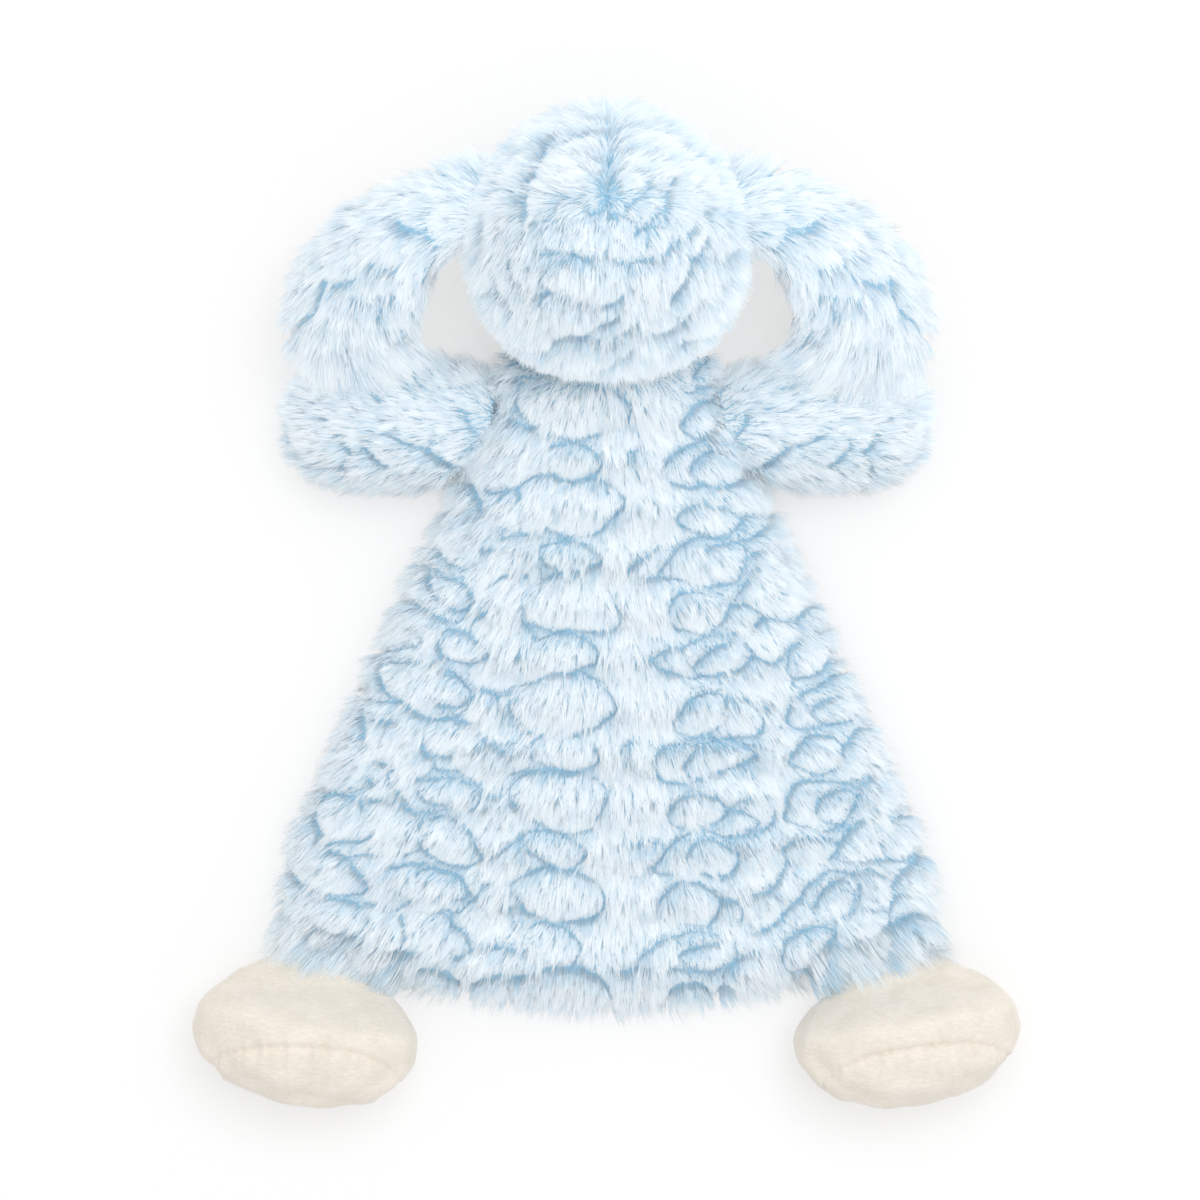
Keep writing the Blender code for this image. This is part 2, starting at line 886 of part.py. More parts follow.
def add_foot(side, label):
    along = (math.cos(foot_angle), side * math.sin(foot_angle), 0)
    hinge = Vector((side * foot_hinge_x, neck_y + foot_hinge_y, hem_thickness / 2))
    frame = hinge_frame(hinge, along)
    outward = Vector((side * math.sin(foot_angle), -math.cos(foot_angle), 0))
    centre = hinge + outward * foot_reach
    centre.z = foot_half_depth - pressed_depth
    turn = side * foot_angle

    def mesh_of(inset):
        radii = [
            r - inset for r in (foot_half_width, foot_half_length, foot_half_depth)
        ]
        return ball_mesh(
            centre, radii, foot_roundness, ball_segments, small_rings, turn=turn
        )

    fan = link_cutter(
        f"{label}_foot_fan",
        fan_mesh(
            frame,
            hem_thickness / 2 + foot_side_clearance,
            foot_lift,
            foot_drop,
            2 * foot_half_width,
            foot_half_width,
        ),
    )
    sole_place = centre + outward * sole_setback
    sole_frame = (
        Matrix.Translation(sole_place)
        @ Matrix.Rotation(side * math.radians(sole_splay), 4, "Z")
        @ Matrix.Rotation(math.radians(sole_tilt), 4, "X")
    )
    sole, upper = split_boxes(f"{label}_foot", sole_frame, torso_half_width)
    add_limb(
        f"{label}_foot",
        ("upper", "sole"),
        cream_velour,
        velour_thickness,
        mesh_of,
        (upper, sole),
        frame,
        fan,
        (table, table_under_velour, table_under_velour_filling),
    )


for side, label in ((-1, "left"), (1, "right")):
    add_ear(side, label)
    add_arm(side, label)
    add_foot(side, label)
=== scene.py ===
"""A puppy comfort blanket lovey in light-blue sculpted plush, lying on its front and seen from above.

The CAD frame gives every piece its place. Each cover starts as a copy of its solids, is plumped as
cloth round its filling, drawn in by the height of the pile, and sewn panels are then cut from it. The
pile itself is short tapered strands that follow the lay of the fabric and part along its grooves.
"""

import json
import math

import bmesh
import bpy
import numpy as np
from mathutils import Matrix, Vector
from mathutils.bvhtree import BVHTree


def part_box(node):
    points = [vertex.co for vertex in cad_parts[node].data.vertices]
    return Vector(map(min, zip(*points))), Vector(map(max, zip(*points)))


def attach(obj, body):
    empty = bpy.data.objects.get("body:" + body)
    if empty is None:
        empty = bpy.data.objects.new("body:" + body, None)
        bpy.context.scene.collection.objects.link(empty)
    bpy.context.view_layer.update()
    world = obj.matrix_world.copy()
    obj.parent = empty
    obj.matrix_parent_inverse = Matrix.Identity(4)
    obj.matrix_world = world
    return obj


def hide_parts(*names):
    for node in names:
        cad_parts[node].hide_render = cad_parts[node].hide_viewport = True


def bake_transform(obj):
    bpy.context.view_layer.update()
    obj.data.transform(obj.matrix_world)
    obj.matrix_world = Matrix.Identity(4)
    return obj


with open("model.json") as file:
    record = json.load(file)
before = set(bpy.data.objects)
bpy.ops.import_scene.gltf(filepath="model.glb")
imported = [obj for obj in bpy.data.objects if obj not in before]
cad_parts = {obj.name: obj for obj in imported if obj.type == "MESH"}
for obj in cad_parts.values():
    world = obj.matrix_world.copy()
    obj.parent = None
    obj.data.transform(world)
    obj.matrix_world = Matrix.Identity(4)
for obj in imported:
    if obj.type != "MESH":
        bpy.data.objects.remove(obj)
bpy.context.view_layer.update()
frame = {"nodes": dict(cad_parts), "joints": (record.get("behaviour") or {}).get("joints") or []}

# The table, the lamps and the camera. The toy lies on a white sheet of paper under a large soft box
# at the upper right, and the camera looks straight down from a metre and a half.
mm = 0.001
table_size = 4.0
camera_height = 1.5
camera_place = (-2.35 * mm, 2.65 * mm, camera_height)
photographed_width = 403.4 * mm
sensor_width = 36.0
soft_box_place = (0.32, 0.48, 1.7)
soft_box_width = 1.2
soft_box_power = 13.5
room_brightness = 0.81
paper_white = "#F4F4F4"
paper_lift = 0.50


def linear(hex_colour):
    """An sRGB hex colour as the linear RGBA that a shader takes."""
    parts = [int(hex_colour[i : i + 2], 16) / 255 for i in (1, 3, 5)]
    made = [p / 12.92 if p <= 0.04045 else ((p + 0.055) / 1.055) ** 2.4 for p in parts]
    return (*made, 1.0)


def add_node(material, kind, inputs=(), stops=(), **settings):
    """Adds a node, sets its properties and a ramp's stops, and links or sets its inputs."""
    node = material.node_tree.nodes.new(kind)
    for number, (position, colour) in enumerate(stops):
        elements = node.color_ramp.elements
        element = elements[number] if number < 2 else elements.new(position)
        element.position, element.color = position, linear(colour)
    for name, value in settings.items():
        setattr(node, name, value)
    for key, value in dict(inputs).items():
        socket = node.inputs[key]
        if isinstance(value, bpy.types.NodeSocket):
            material.node_tree.links.new(value, socket)
        else:
            socket.default_value = value
    return node


def new_material(name):
    """An empty material and a function that gives it its surface."""
    material = bpy.data.materials.new(name)
    material.use_nodes = True
    material.node_tree.nodes.clear()
    output = add_node(material, "ShaderNodeOutputMaterial")

    def surface(shader):
        material.node_tree.links.new(shader.outputs[0], output.inputs["Surface"])

    return material, surface


def link(name, data):
    """Puts a new mesh, curve, lamp or camera into the scene."""
    made = bpy.data.objects.new(name, data)
    bpy.context.scene.collection.objects.link(made)
    return made


def seen_directly(material, share):
    """The share for rays from the camera, a reflection or clear matter, and 0 for all others."""
    rays = add_node(material, "ShaderNodeLightPath")
    direct = rays.outputs["Is Camera Ray"]
    for kind in ("Is Glossy Ray", "Is Transmission Ray"):
        larger = {0: direct, 1: rays.outputs[kind]}
        direct = add_node(material, "ShaderNodeMath", larger, operation="MAXIMUM").outputs[0]
    return add_node(material, "ShaderNodeMath", {0: direct, 1: share}, operation="MULTIPLY")


# Matt white paper: it scatters evenly, and what the camera sees of it is lifted to the white of the
# photograph, with the toy's shadow kept.
paper, paper_surface = new_material("matt_white_paper")
lift = seen_directly(paper, paper_lift)
scattered = add_node(paper, "ShaderNodeBsdfDiffuse", {"Color": linear(paper_white)})
lifted = add_node(paper, "ShaderNodeEmission", {"Color": linear("#FFFFFF"), "Strength": 1.0})
both = add_node(
    paper,
    "ShaderNodeMixShader",
    {0: lift.outputs[0], 1: scattered.outputs[0], 2: lifted.outputs[0]},
)
paper_surface(both)

table_form = bmesh.new()
bmesh.ops.create_grid(table_form, x_segments=1, y_segments=1, size=table_size / 2)
table_mesh = bpy.data.meshes.new("paper_table")
table_form.to_mesh(table_mesh)
table_form.free()
table_mesh.materials.append(paper)
table = link("paper_table", table_mesh)

soft_box = bpy.data.lights.new("soft_box", "AREA")
soft_box.shape = "SQUARE"
soft_box.size = soft_box_width
soft_box.energy = soft_box_power
lamp = link("soft_box", soft_box)
lamp.location = soft_box_place
lamp.rotation_euler = (-Vector(soft_box_place)).to_track_quat("-Z", "Y").to_euler()

world = bpy.data.worlds.new("studio")
world.use_nodes = True
bpy.context.scene.world = world
room = world.node_tree.nodes["Background"]
room.inputs["Color"].default_value = linear("#FFFFFF")
white_room = add_node(
    world,
    "ShaderNodeMath",
    {0: seen_directly(world, 1 - room_brightness).outputs[0], 1: room_brightness},
    operation="ADD",
)
world.node_tree.links.new(white_room.outputs[0], room.inputs["Strength"])

camera_data = bpy.data.cameras.new("camera")
camera_data.sensor_width = sensor_width
camera_data.lens = sensor_width * camera_height / photographed_width
camera = link("camera", camera_data)
camera.location = camera_place
bpy.context.scene.camera = camera
bpy.context.scene.view_settings.view_transform = "Standard"

# Torso: a flared, lightly wadded blanket of polyester plush, cut as a back and a front panel and
# sewn together round the edge. The pile is embossed with a network of scales like pebbled hide.
torso_voxel = 3.0 * mm
torso_swell = 1.5 * mm
pile_height = 3.2 * mm
pile_length = 9.4 * mm
side_pile_length = 10.5 * mm
hem_pile_length = 16.0 * mm
foot_cover = 17.5 * mm
foot_pile_length = 20.0 * mm
pressed_pile_length = 6.5 * mm
shortest_strand = 1.8 * mm
tuft_size = 2.2 * mm
back_density = 4.2
front_density = 2.4
foot_angle = math.radians(17)
foot_half_span = 29.0 * mm
over_foot_from = 9.0 * mm
over_foot_span = 8.0 * mm
hem_from = 80.0 * mm
hem_span = 30.0 * mm
hanging_share = 0.8
nap_fan, nap_fan_rate = math.radians(52), 1.1
nap_over_foot, nap_into_cloth = 0.75, 0.25
armpit = np.array([38.0, 59.0]) * mm
armpit_pile = 8.0 * mm
armpit_span = 8.0 * mm
arm_end = np.array([42.0, 62.0]) * mm
arm_end_half_width = 12.0 * mm
torso_seam = np.array([8.2, 20.0]) * mm
relief = 1.8 * mm
groove_width = 0.6 * mm
pattern_reach = 150 * mm
plump_frames = 20
plump_pressure = 4
most_strands = 95000
shade_levels = 8

# The torso's half width at three places from the hem to the neck, in millimetres
torso_half_widths = ((-135, -30, 60), (110, 75, 50))

# A polyester fibre is 0.03 mm thick, so a strand stands for a bundle of them, drawn as coarse as it
# needs to be to show, and there are about four to a square millimetre
strand_width = 0.36 * mm
strand_widths = (0.75, 1.25)

# How the strands stand: angles from the nap and the cloth in radians, shares of a strand's reach, and
# how far these spread from tuft to tuft and from strand to strand
tuft_turn_spread = 0.13
strand_turn_spread = 0.09
strand_twist_spread = 0.3
tuft_reaches = (0.85, 1.10)
strand_reaches = (0.88, 1.08)
tuft_closing = 0.35
upright_angle, upright_spread, upright_limits = 0.97, 0.08, (0.6, 1.2)
bent_share, bent_spread, bent_limits = 0.36, 0.10, (0.0, 0.8)
bent_at_edge = 0.30
root_depth = 0.4 * mm
above_table = 0.1 * mm
edge_slope = 0.6
underside_from, underside_span, underside_trim = 0.15, 0.3, 0.4

# How the grooves open, in shares of the pile's full height, how far strands reach past them, and how
# much painted shade they put on the roots
edge_fill = 0.8
bare_groove = 0.08
groove_edge = 0.7
groove_shoulder = 0.4
groove_reach = 0.30
groove_steps = 8
overhangs = (0.2, 1.2)
edge_overhang = 6
long_pile_share = 1.4
look_behind = 0.9 * mm
behind_share = 0.75
groove_sharpness = 1.3
edge_lightening = 0.7
plain_shade, groove_shade = 0.94, 1.05
tuft_shade_spread, strand_shade_spread = 0.10, 0.09


def unit(vectors):
    """Each row as a unit vector."""
    size = np.linalg.norm(vectors, axis=1, keepdims=True)
    return vectors / np.maximum(size, 1e-9)


def points_of(mesh):
    """A mesh's points and their normals."""
    points = np.empty(len(mesh.vertices) * 3, np.float32)
    mesh.vertices.foreach_get("co", points)
    normals = np.empty(len(mesh.vertices) * 3, np.float32)
    mesh.vertex_normals.foreach_get("vector", normals)
    return points.reshape(-1, 3).astype(float), normals.reshape(-1, 3).astype(float)


def set_points(mesh, points):
    mesh.vertices.foreach_set("co", points.astype(np.float32).ravel())
    mesh.update()


def with_modifier(piece, kind, **settings):
    """The piece's mesh as one modifier leaves it."""
    modifier = piece.modifiers.new(kind.lower(), kind)
    for name, value in settings.items():
        setattr(modifier, name, value)
    graph = bpy.context.evaluated_depsgraph_get()
    made = bpy.data.meshes.new_from_object(piece.evaluated_get(graph))
    piece.modifiers.clear()
    piece.data = made
    return made


def stuffed(name, nodes, voxel, swell, inset):
    """A closed cover over several CAD solids: remeshed as one, plumped, and drawn in under its pile."""
    form = bmesh.new()
    for node in nodes:
        form.from_mesh(frame["nodes"][node].data)
    mesh = bpy.data.meshes.new(name)
    form.to_mesh(mesh)
    form.free()
    piece = link(name, mesh)
    with_modifier(piece, "REMESH", mode="VOXEL", voxel_size=voxel)
    keep_largest(piece.data)
    with_modifier(piece, "SMOOTH", factor=0.5, iterations=4)
    plump(piece, swell)
    points, normals = points_of(piece.data)
    points = points - normals * inset
    set_points(piece.data, points)
    with_modifier(piece, "SMOOTH", factor=0.5, iterations=3)
    with_modifier(piece, "SUBSURF", levels=1, render_levels=1)
    return piece


def keep_largest(mesh):
    """Drops the small closed bubbles that a remesh leaves in the gaps between layers."""
    form = bmesh.new()
    form.from_mesh(mesh)
    left = set(form.verts)
    islands = []
    while left:
        queue = [left.pop()]
        island = list(queue)
        while queue:
            for edge in queue.pop().link_edges:
                for vertex in edge.verts:
                    if vertex in left:
                        left.remove(vertex)
                        queue.append(vertex)
                        island.append(vertex)
        islands.append(island)
    islands.sort(key=len)
    small = [vertex for island in islands[:-1] for vertex in island]
    bmesh.ops.delete(form, geom=small, context="VERTS")
    form.to_mesh(mesh)
    form.free()


def plump(piece, swell):
    """Blows the cover up as cloth for some frames, and keeps each point within the swell."""
    before, _ = points_of(piece.data)
    cloth = piece.modifiers.new("cloth", "CLOTH")
    cloth.settings.use_pressure = True
    cloth.settings.uniform_pressure_force = plump_pressure
    cloth.settings.effector_weights.gravity = 0
    cloth.settings.quality = 3
    scene = bpy.context.scene
    for number in range(1, plump_frames + 1):
        scene.frame_set(number)
    graph = bpy.context.evaluated_depsgraph_get()
    made = bpy.data.meshes.new_from_object(piece.evaluated_get(graph))
    piece.modifiers.clear()
    scene.frame_set(1)
    after, _ = points_of(made)
    move = after - before
    size = np.linalg.norm(move, axis=1, keepdims=True)
    move *= np.minimum(1.0, swell / np.maximum(size, 1e-9))
    points = before + move
    points[:, 2] = np.maximum(points[:, 2], 0.0)
    set_points(piece.data, points)


def wobble(u, v, wave, height, seed):
    """A smooth random drift of a place on a flat map."""
    phases = np.random.default_rng(seed).uniform(0, 2 * math.pi, (2, 4))
    angles = np.array([0.4, 1.7, 2.9, 4.4])
    drift = []
    for row in phases:
        waves = [
            np.sin((u * math.cos(a) + v * math.sin(a)) / wave * (1 + 0.3 * i) + p)
            for i, (a, p) in enumerate(zip(angles, row))
        ]
        drift.append(height * sum(waves) / 2)
    return drift


class SculptedPile:
    """The height of embossed pile over a flat map: 1 on a scale and 0 in the deepest groove.

    Each scale is an oval with pointed ends: its middle, its two half sizes, its turn and how deep
    it is cut. The map's cell, the waves that it drifts by and the scales' outlines are the same for
    all pieces."""

    cell = 0.4 * mm
    drift_wave = 7 * mm
    ragged_wave, ragged_drift = 2 * mm, 0.4 * mm
    depth_wave, depth_drift = 5 * mm, 0.5
    usual_depth, depth_swing, least_depth = 0.85, 0.8, 0.35
    blunt, pointed = 2.2, 1.4
    ground_cut = 0.5
    line_strength = 0.85

    def __init__(self, scales, reach, groove, seed, drift=1.3 * mm):
        self.reach = reach
        count = int(2 * reach / self.cell)
        axis = (np.arange(count) + 0.5) * self.cell - reach
        u, v = np.meshgrid(axis, axis)
        du, dv = wobble(u, v, self.drift_wave, drift, seed)
        ragged_u, ragged_v = wobble(u, v, self.ragged_wave, self.ragged_drift, seed + 100)
        deeper, _ = wobble(u, v, self.depth_wave, self.depth_drift, seed + 200)
        u, v = u + du + ragged_u, v + dv + ragged_v
        label = np.zeros(u.shape, int)
        for number, (cu, cv, half_u, half_v, turn, _) in enumerate(scales, 1):
            span = int(1.5 * max(half_u, half_v) / self.cell) + 6
            row = int((cv + reach) / self.cell)
            column = int((cu + reach) / self.cell)
            rows = slice(max(row - span, 0), max(row + span, 0))
            columns = slice(max(column - span, 0), max(column + span, 0))
            x, y = u[rows, columns] - cu, v[rows, columns] - cv
            across = (x * math.cos(turn) + y * math.sin(turn)) / half_u
            along = (y * math.cos(turn) - x * math.sin(turn)) / half_v
            inside = np.abs(across) ** self.blunt + np.abs(along) ** self.pointed < 1
            label[rows, columns][inside] = number
        cuts = np.array([self.ground_cut] + [scale[5] for scale in scales])
        line = np.zeros(u.shape)
        beside = np.where(label[:, 1:] != label[:, :-1], np.maximum(label[:, 1:], label[:, :-1]), -1)
        above = np.where(label[1:, :] != label[:-1, :], np.maximum(label[1:, :], label[:-1, :]), -1)
        line[:, 1:] = np.where(beside >= 0, cuts[beside], 0)
        line[1:, :] = np.maximum(line[1:, :], np.where(above >= 0, cuts[above], 0))
        line *= np.clip(self.usual_depth + self.depth_swing * deeper, self.least_depth, 1)
        width = max(int(round(groove / self.cell)), 1)
        for _ in range(2):
            for axis_number in (0, 1):
                line = sum(
                    np.roll(line, shift, axis_number)
                    for shift in range(-width, width + 1)
                ) / (2 * width + 1)
        self.height = 1 - np.clip(line * (2 * width + 1) * self.line_strength, 0, 1)

    def at(self, u, v):
        column = np.clip((u + self.reach) / self.cell - 0.5, 0, self.height.shape[1] - 1.01)
        row = np.clip((v + self.reach) / self.cell - 0.5, 0, self.height.shape[0] - 1.01)
        c, r = column.astype(int), row.astype(int)
        fc, fr = column - c, row - r
        h = self.height
        low = h[r, c] * (1 - fc) + h[r, c + 1] * fc
        high = h[r + 1, c] * (1 - fc) + h[r + 1, c + 1] * fc
        return low * (1 - fr) + high * fr


def panel_of(piece, name, belongs, material):
    """One sewn panel: the part of a cover whose face centres belong to it."""
    mesh = piece.data.copy()
    mesh.name = name
    centres = np.empty(len(mesh.polygons) * 3, np.float32)
    mesh.polygons.foreach_get("center", centres)
    keep = belongs(centres.reshape(-1, 3).astype(float))
    form = bmesh.new()
    form.from_mesh(mesh)
    form.faces.ensure_lookup_table()
    spare = [form.faces[i] for i in np.nonzero(~keep)[0]]
    bmesh.ops.delete(form, geom=spare, context="FACES")
    form.to_mesh(mesh)
    form.free()
    mesh.materials.clear()
    mesh.materials.append(material)
    mesh.shade_smooth()
    return link(name, mesh)


def emboss(piece, height_at, depth):
    """Sinks the cover along the pile's grooves."""
    points, normals = points_of(piece.data)
    sunk = (height_at(points, normals) - 1) * depth
    points = points + normals * sunk[:, None]
    points[:, 2] = np.maximum(points[:, 2], 1.0 * mm)
    set_points(piece.data, points)


def turned_down(normals):
    """0 where the cloth faces up, and 1 where it turns down at an edge and underneath."""
    return np.clip(1 - normals[:, 2] / edge_slope, 0, 1)


def scatter_roots(mesh, density, dice):
    """Random roots all over a mesh, so many to a square millimetre, with their normals."""
    mesh.calc_loop_triangles()
    faces = np.empty(len(mesh.loop_triangles) * 3, np.int32)
    mesh.loop_triangles.foreach_get("vertices", faces)
    faces = faces.reshape(-1, 3)
    points, normals = points_of(mesh)
    corners = points[faces]
    area = np.linalg.norm(
        np.cross(corners[:, 1] - corners[:, 0], corners[:, 2] - corners[:, 0]), axis=1
    ) / 2
    count = int(area.sum() / mm**2 * density)
    chosen = np.sort(dice.choice(len(faces), count, p=area / area.sum()))
    a, b = dice.random((2, count))
    fold = a + b > 1
    a, b = np.where(fold, 1 - a, a), np.where(fold, 1 - b, b)
    weights = np.stack([1 - a - b, a, b], axis=1)[:, :, None]
    root = (corners[chosen] * weights).sum(1)
    return root, unit((normals[faces[chosen]] * weights).sum(1))


def grow_pile(name, cloth, density, lay, height_at, seed, length, rise=1.0):
    """Strands of pile on a panel: flat tapered kites, combed by the lay and cut short at the grooves.

    The length is a function of the roots and their normals, and nothing grows where it is 0."""
    dice = np.random.default_rng(seed)
    root, normal = scatter_roots(cloth.data, density, dice)
    full = length(root, normal)
    edge = turned_down(normal)
    here = height_at(root, normal)
    here = here + (1 - here) * edge_fill * edge
    underneath = np.clip((underside_from - normal[:, 2]) / underside_span, 0, 1)
    full = full * (1 - underside_trim * underneath)
    # Nothing grows in the deepest grooves, so the ground's painted shade shows there as a dark line
    grows = (full > 0) & (here > bare_groove)
    root, normal, full = root[grows], normal[grows], full[grows]
    edge, here = edge[grows], here[grows]
    count = len(root)

    # Strands whose roots share a cell are a tuft: they lean, reach and shade alike, and close at
    # their tips
    cells = np.floor(root / tuft_size + dice.random(3)).astype(int)
    _, tuft = np.unique(cells, axis=0, return_inverse=True)
    tuft = tuft.reshape(-1)
    tufts = tuft.max() + 1
    members = np.bincount(tuft, minlength=tufts)
    middle = np.stack([np.bincount(tuft, root[:, i], tufts) / members for i in range(3)], axis=1)
    tuft_turn = dice.normal(0, tuft_turn_spread, tufts)
    tuft_reach = dice.uniform(*tuft_reaches, tufts)
    tuft_shade = dice.normal(0, tuft_shade_spread, tufts)

    combed = lay(root, normal)
    combed = unit(combed - normal * (combed * normal).sum(1, keepdims=True))
    across = np.cross(normal, combed)
    turn = (tuft_turn[tuft] + dice.normal(0, strand_turn_spread, count))[:, None]
    combed = combed * np.cos(turn) + across * np.sin(turn)
    across = np.cross(normal, combed)

    # A strand ends a little past the next groove, but for the long pile round the hem, and one that
    # stands near a groove stays short
    free = np.full(count, np.inf)
    for step in range(1, groove_steps + 1):
        ahead = pile_length * step / groove_steps
        dip = height_at(root + combed * ahead, normal)
        free = np.where((dip < groove_edge) & np.isinf(free), ahead, free)
    overhang = (dice.uniform(*overhangs, count) + edge_overhang * edge) * mm
    reach = full * tuft_reach[tuft] * dice.uniform(*strand_reaches, count)
    reach = np.where(full > long_pile_share * pile_length, reach, np.minimum(reach, free + overhang))
    reach = reach * (groove_reach + (1 - groove_reach) * np.clip(here / groove_shoulder, 0, 1))
    reach = np.maximum(reach, shortest_strand)

    upright = np.clip(dice.normal(upright_angle, upright_spread, count), *upright_limits) * rise
    bent = dice.normal(bent_share, bent_spread, count) + bent_at_edge * edge
    bent = upright * np.clip(bent, *bent_limits)
    reach = reach[:, None]
    first = combed * np.cos(upright)[:, None] + normal * np.sin(upright)[:, None]
    second = combed * np.cos(bent)[:, None] + normal * np.sin(bent)[:, None]
    elbow = root + first * reach * 0.5
    tip = elbow + second * reach * 0.5
    tip += (middle[tuft] - root) * tuft_closing
    wide = across * (strand_width / 2 * dice.uniform(*strand_widths, count))[:, None]
    twist = dice.normal(0, strand_twist_spread, count)[:, None]
    wide = wide * np.cos(twist) + normal * np.sin(twist) * strand_width / 2
    strands = np.stack([root - normal * root_depth, elbow - wide, elbow + wide, tip], axis=1)
    strands[:, :, 2] = np.maximum(strands[:, :, 2], above_table)

    # Fine fibres scatter light as a soft mass, so their shading leans on the cloth's own normal and,
    # where it slopes away, on the open side above. Each strand's face is turned to that side.
    slope = np.clip((0.92 - normal[:, 2]) / 0.5, 0, 1) * np.clip((normal[:, 2] + 0.4) / 0.3, 0, 1)
    soft = unit(
        normal
        + combed * dice.normal(0.10, 0.12, count)[:, None]
        + across * dice.normal(0, 0.14, count)[:, None]
        + np.array([[0, 0, 0.9]]) * slope[:, None]
    )
    face = np.cross(elbow + wide - tip, elbow - wide - tip)
    wrong = np.where(soft[:, 2] > 0, face[:, 2], (face * soft).sum(1)) < 0
    strands[wrong] = strands[wrong][:, [0, 2, 1, 3]]

    # The shade of the pile's depth is painted into the strands' own colour, which is the darker the
    # more a groove opens at their roots or just behind them, and the lighter where the cloth turns down
    behind = height_at(root - combed * look_behind, normal)
    open_roots = np.maximum(1 - here, behind_share * (1 - behind)) ** groove_sharpness
    open_roots = open_roots * (1 - edge_lightening * edge)
    own_shade = dice.normal(0, strand_shade_spread, count)
    shade = plain_shade + tuft_shade[tuft] + own_shade - groove_shade * open_roots
    by_place = np.argsort(root[:, 0], kind="stable")
    shares = -(-count // most_strands)
    made = []
    for number, part in enumerate(np.array_split(by_place, shares), 1):
        part_name = f"{name}_{number}" if shares > 1 else name
        made.append(pile_mesh(part_name, strands[part], shade[part], soft[part]))
    return made


def pile_mesh(name, strands, shade, soft):
    """Strands as one mesh. "along" runs from root to tip; "shade" is tone and painted groove shade."""
    count = len(strands)
    pile = bpy.data.meshes.new(name)
    pile.vertices.add(count * 4)
    pile.vertices.foreach_set("co", strands.astype(np.float32).ravel())
    start = np.arange(count) * 4
    turns = np.stack([start, start + 1, start + 2, start + 3, start + 2, start + 1], axis=1)
    pile.loops.add(count * 6)
    pile.loops.foreach_set("vertex_index", turns.astype(np.int32).ravel())
    pile.polygons.add(count * 2)
    pile.polygons.foreach_set("loop_start", np.arange(count * 2, dtype=np.int32) * 3)
    pile.update(calc_edges=True)

    level = np.clip(shade * shade_levels**2, 0, shade_levels**2 - 1).astype(int)
    along = np.tile([0.0, 0.5, 0.5, 1.0], count).astype(np.float32)
    attribute = pile.attributes.new("along", "FLOAT", "POINT")
    attribute.data.foreach_set("value", along)
    attribute = pile.attributes.new("shade", "FLOAT", "POINT")
    shades = np.repeat((level + 0.5) / shade_levels**2, 4).astype(np.float32)
    attribute.data.foreach_set("value", shades)

    # The bake's map has one square for each level of shade, with the strand's root at its foot
    square = np.stack([level % shade_levels, level // shade_levels], axis=1)
    place = np.array([[0.5, 0.02], [0.05, 0.5], [0.95, 0.5], [0.5, 0.98], [0.95, 0.5], [0.05, 0.5]])
    uv = (square[:, None, :] + 0.04 + place[None] * 0.92) / shade_levels
    pile.uv_layers.new(name="OFBake")
    pile.uv_layers["OFBake"].data.foreach_set("uv", uv.astype(np.float32).ravel())
    pile.shade_smooth()
    pile.normals_split_custom_set_from_vertices(np.repeat(soft, 4, axis=0).tolist())
    pile.materials.append(plush_pile)
    made = link(name, pile)

    # Strands this much thicker than fibres would shade their neighbours far too much, so they throw
    # no shadow of their own
    made.visible_shadow = False
    return made


# Polyester plush pile, brushed and heat-embossed: matt fibres, pale at their cut tips and a deeper
# blue towards the roots, painted shade for the depth where they crowd. Light passes through them, so
# the pile glows from within. A strand's shade mixes it between a darker blue, painted shade where a
# groove opens, and the plain one.
plush_pile, pile_surface = new_material("brushed_polyester_pile")
along = add_node(plush_pile, "ShaderNodeAttribute", attribute_name="along")
own = add_node(plush_pile, "ShaderNodeAttribute", attribute_name="shade")
# Painted shade along each strand: darker towards the root, palest at the tip
ramp = add_node(
    plush_pile,
    "ShaderNodeValToRGB",
    {"Fac": along.outputs["Fac"]},
    stops=((0.0, "#D9EBF5"), (1.0, "#FCFEFF"), (0.42, "#F3F9FD")),
)
# Painted shade where a groove opens: the ramp multiplied by a darker blue
painted_groove_shade = add_node(
    plush_pile,
    "ShaderNodeMix",
    {0: 1.0, 6: ramp.outputs["Color"], 7: linear("#BAD9EA")},
    data_type="RGBA",
    blend_type="MULTIPLY",
)
blended = add_node(
    plush_pile,
    "ShaderNodeMix",
    {0: own.outputs["Fac"], 6: painted_groove_shade.outputs[2], 7: ramp.outputs["Color"]},
    data_type="RGBA",
)
pile_shader = add_node(
    plush_pile,
    "ShaderNodeBsdfPrincipled",
    {
        "Base Color": blended.outputs[2],
        "Roughness": 0.85,
        "Specular IOR Level": 0.2,
        "Sheen Weight": 0.25,
        "Sheen Roughness": 0.5,
    },
)
through_fibres = add_node(plush_pile, "ShaderNodeBsdfTranslucent", {"Color": blended.outputs[2]})
lit_pile = add_node(
    plush_pile,
    "ShaderNodeMixShader",
    {0: 0.25, 1: pile_shader.outputs[0], 2: through_fibres.outputs[0]},
)
pile_surface(lit_pile)

# The knitted ground that the pile stands on, dyed the same, but drawn a darker blue: painted shade
# for the depth under strands that throw no shadow. It is seen only between the strands.
painted_shade_ground, ground_surface = new_material("knitted_plush_ground")
ground_shader = add_node(
    painted_shade_ground,
    "ShaderNodeBsdfPrincipled",
    {"Base Color": linear("#A5CEE2"), "Roughness": 0.95, "Specular IOR Level": 0.1},
)
ground_surface(ground_shader)


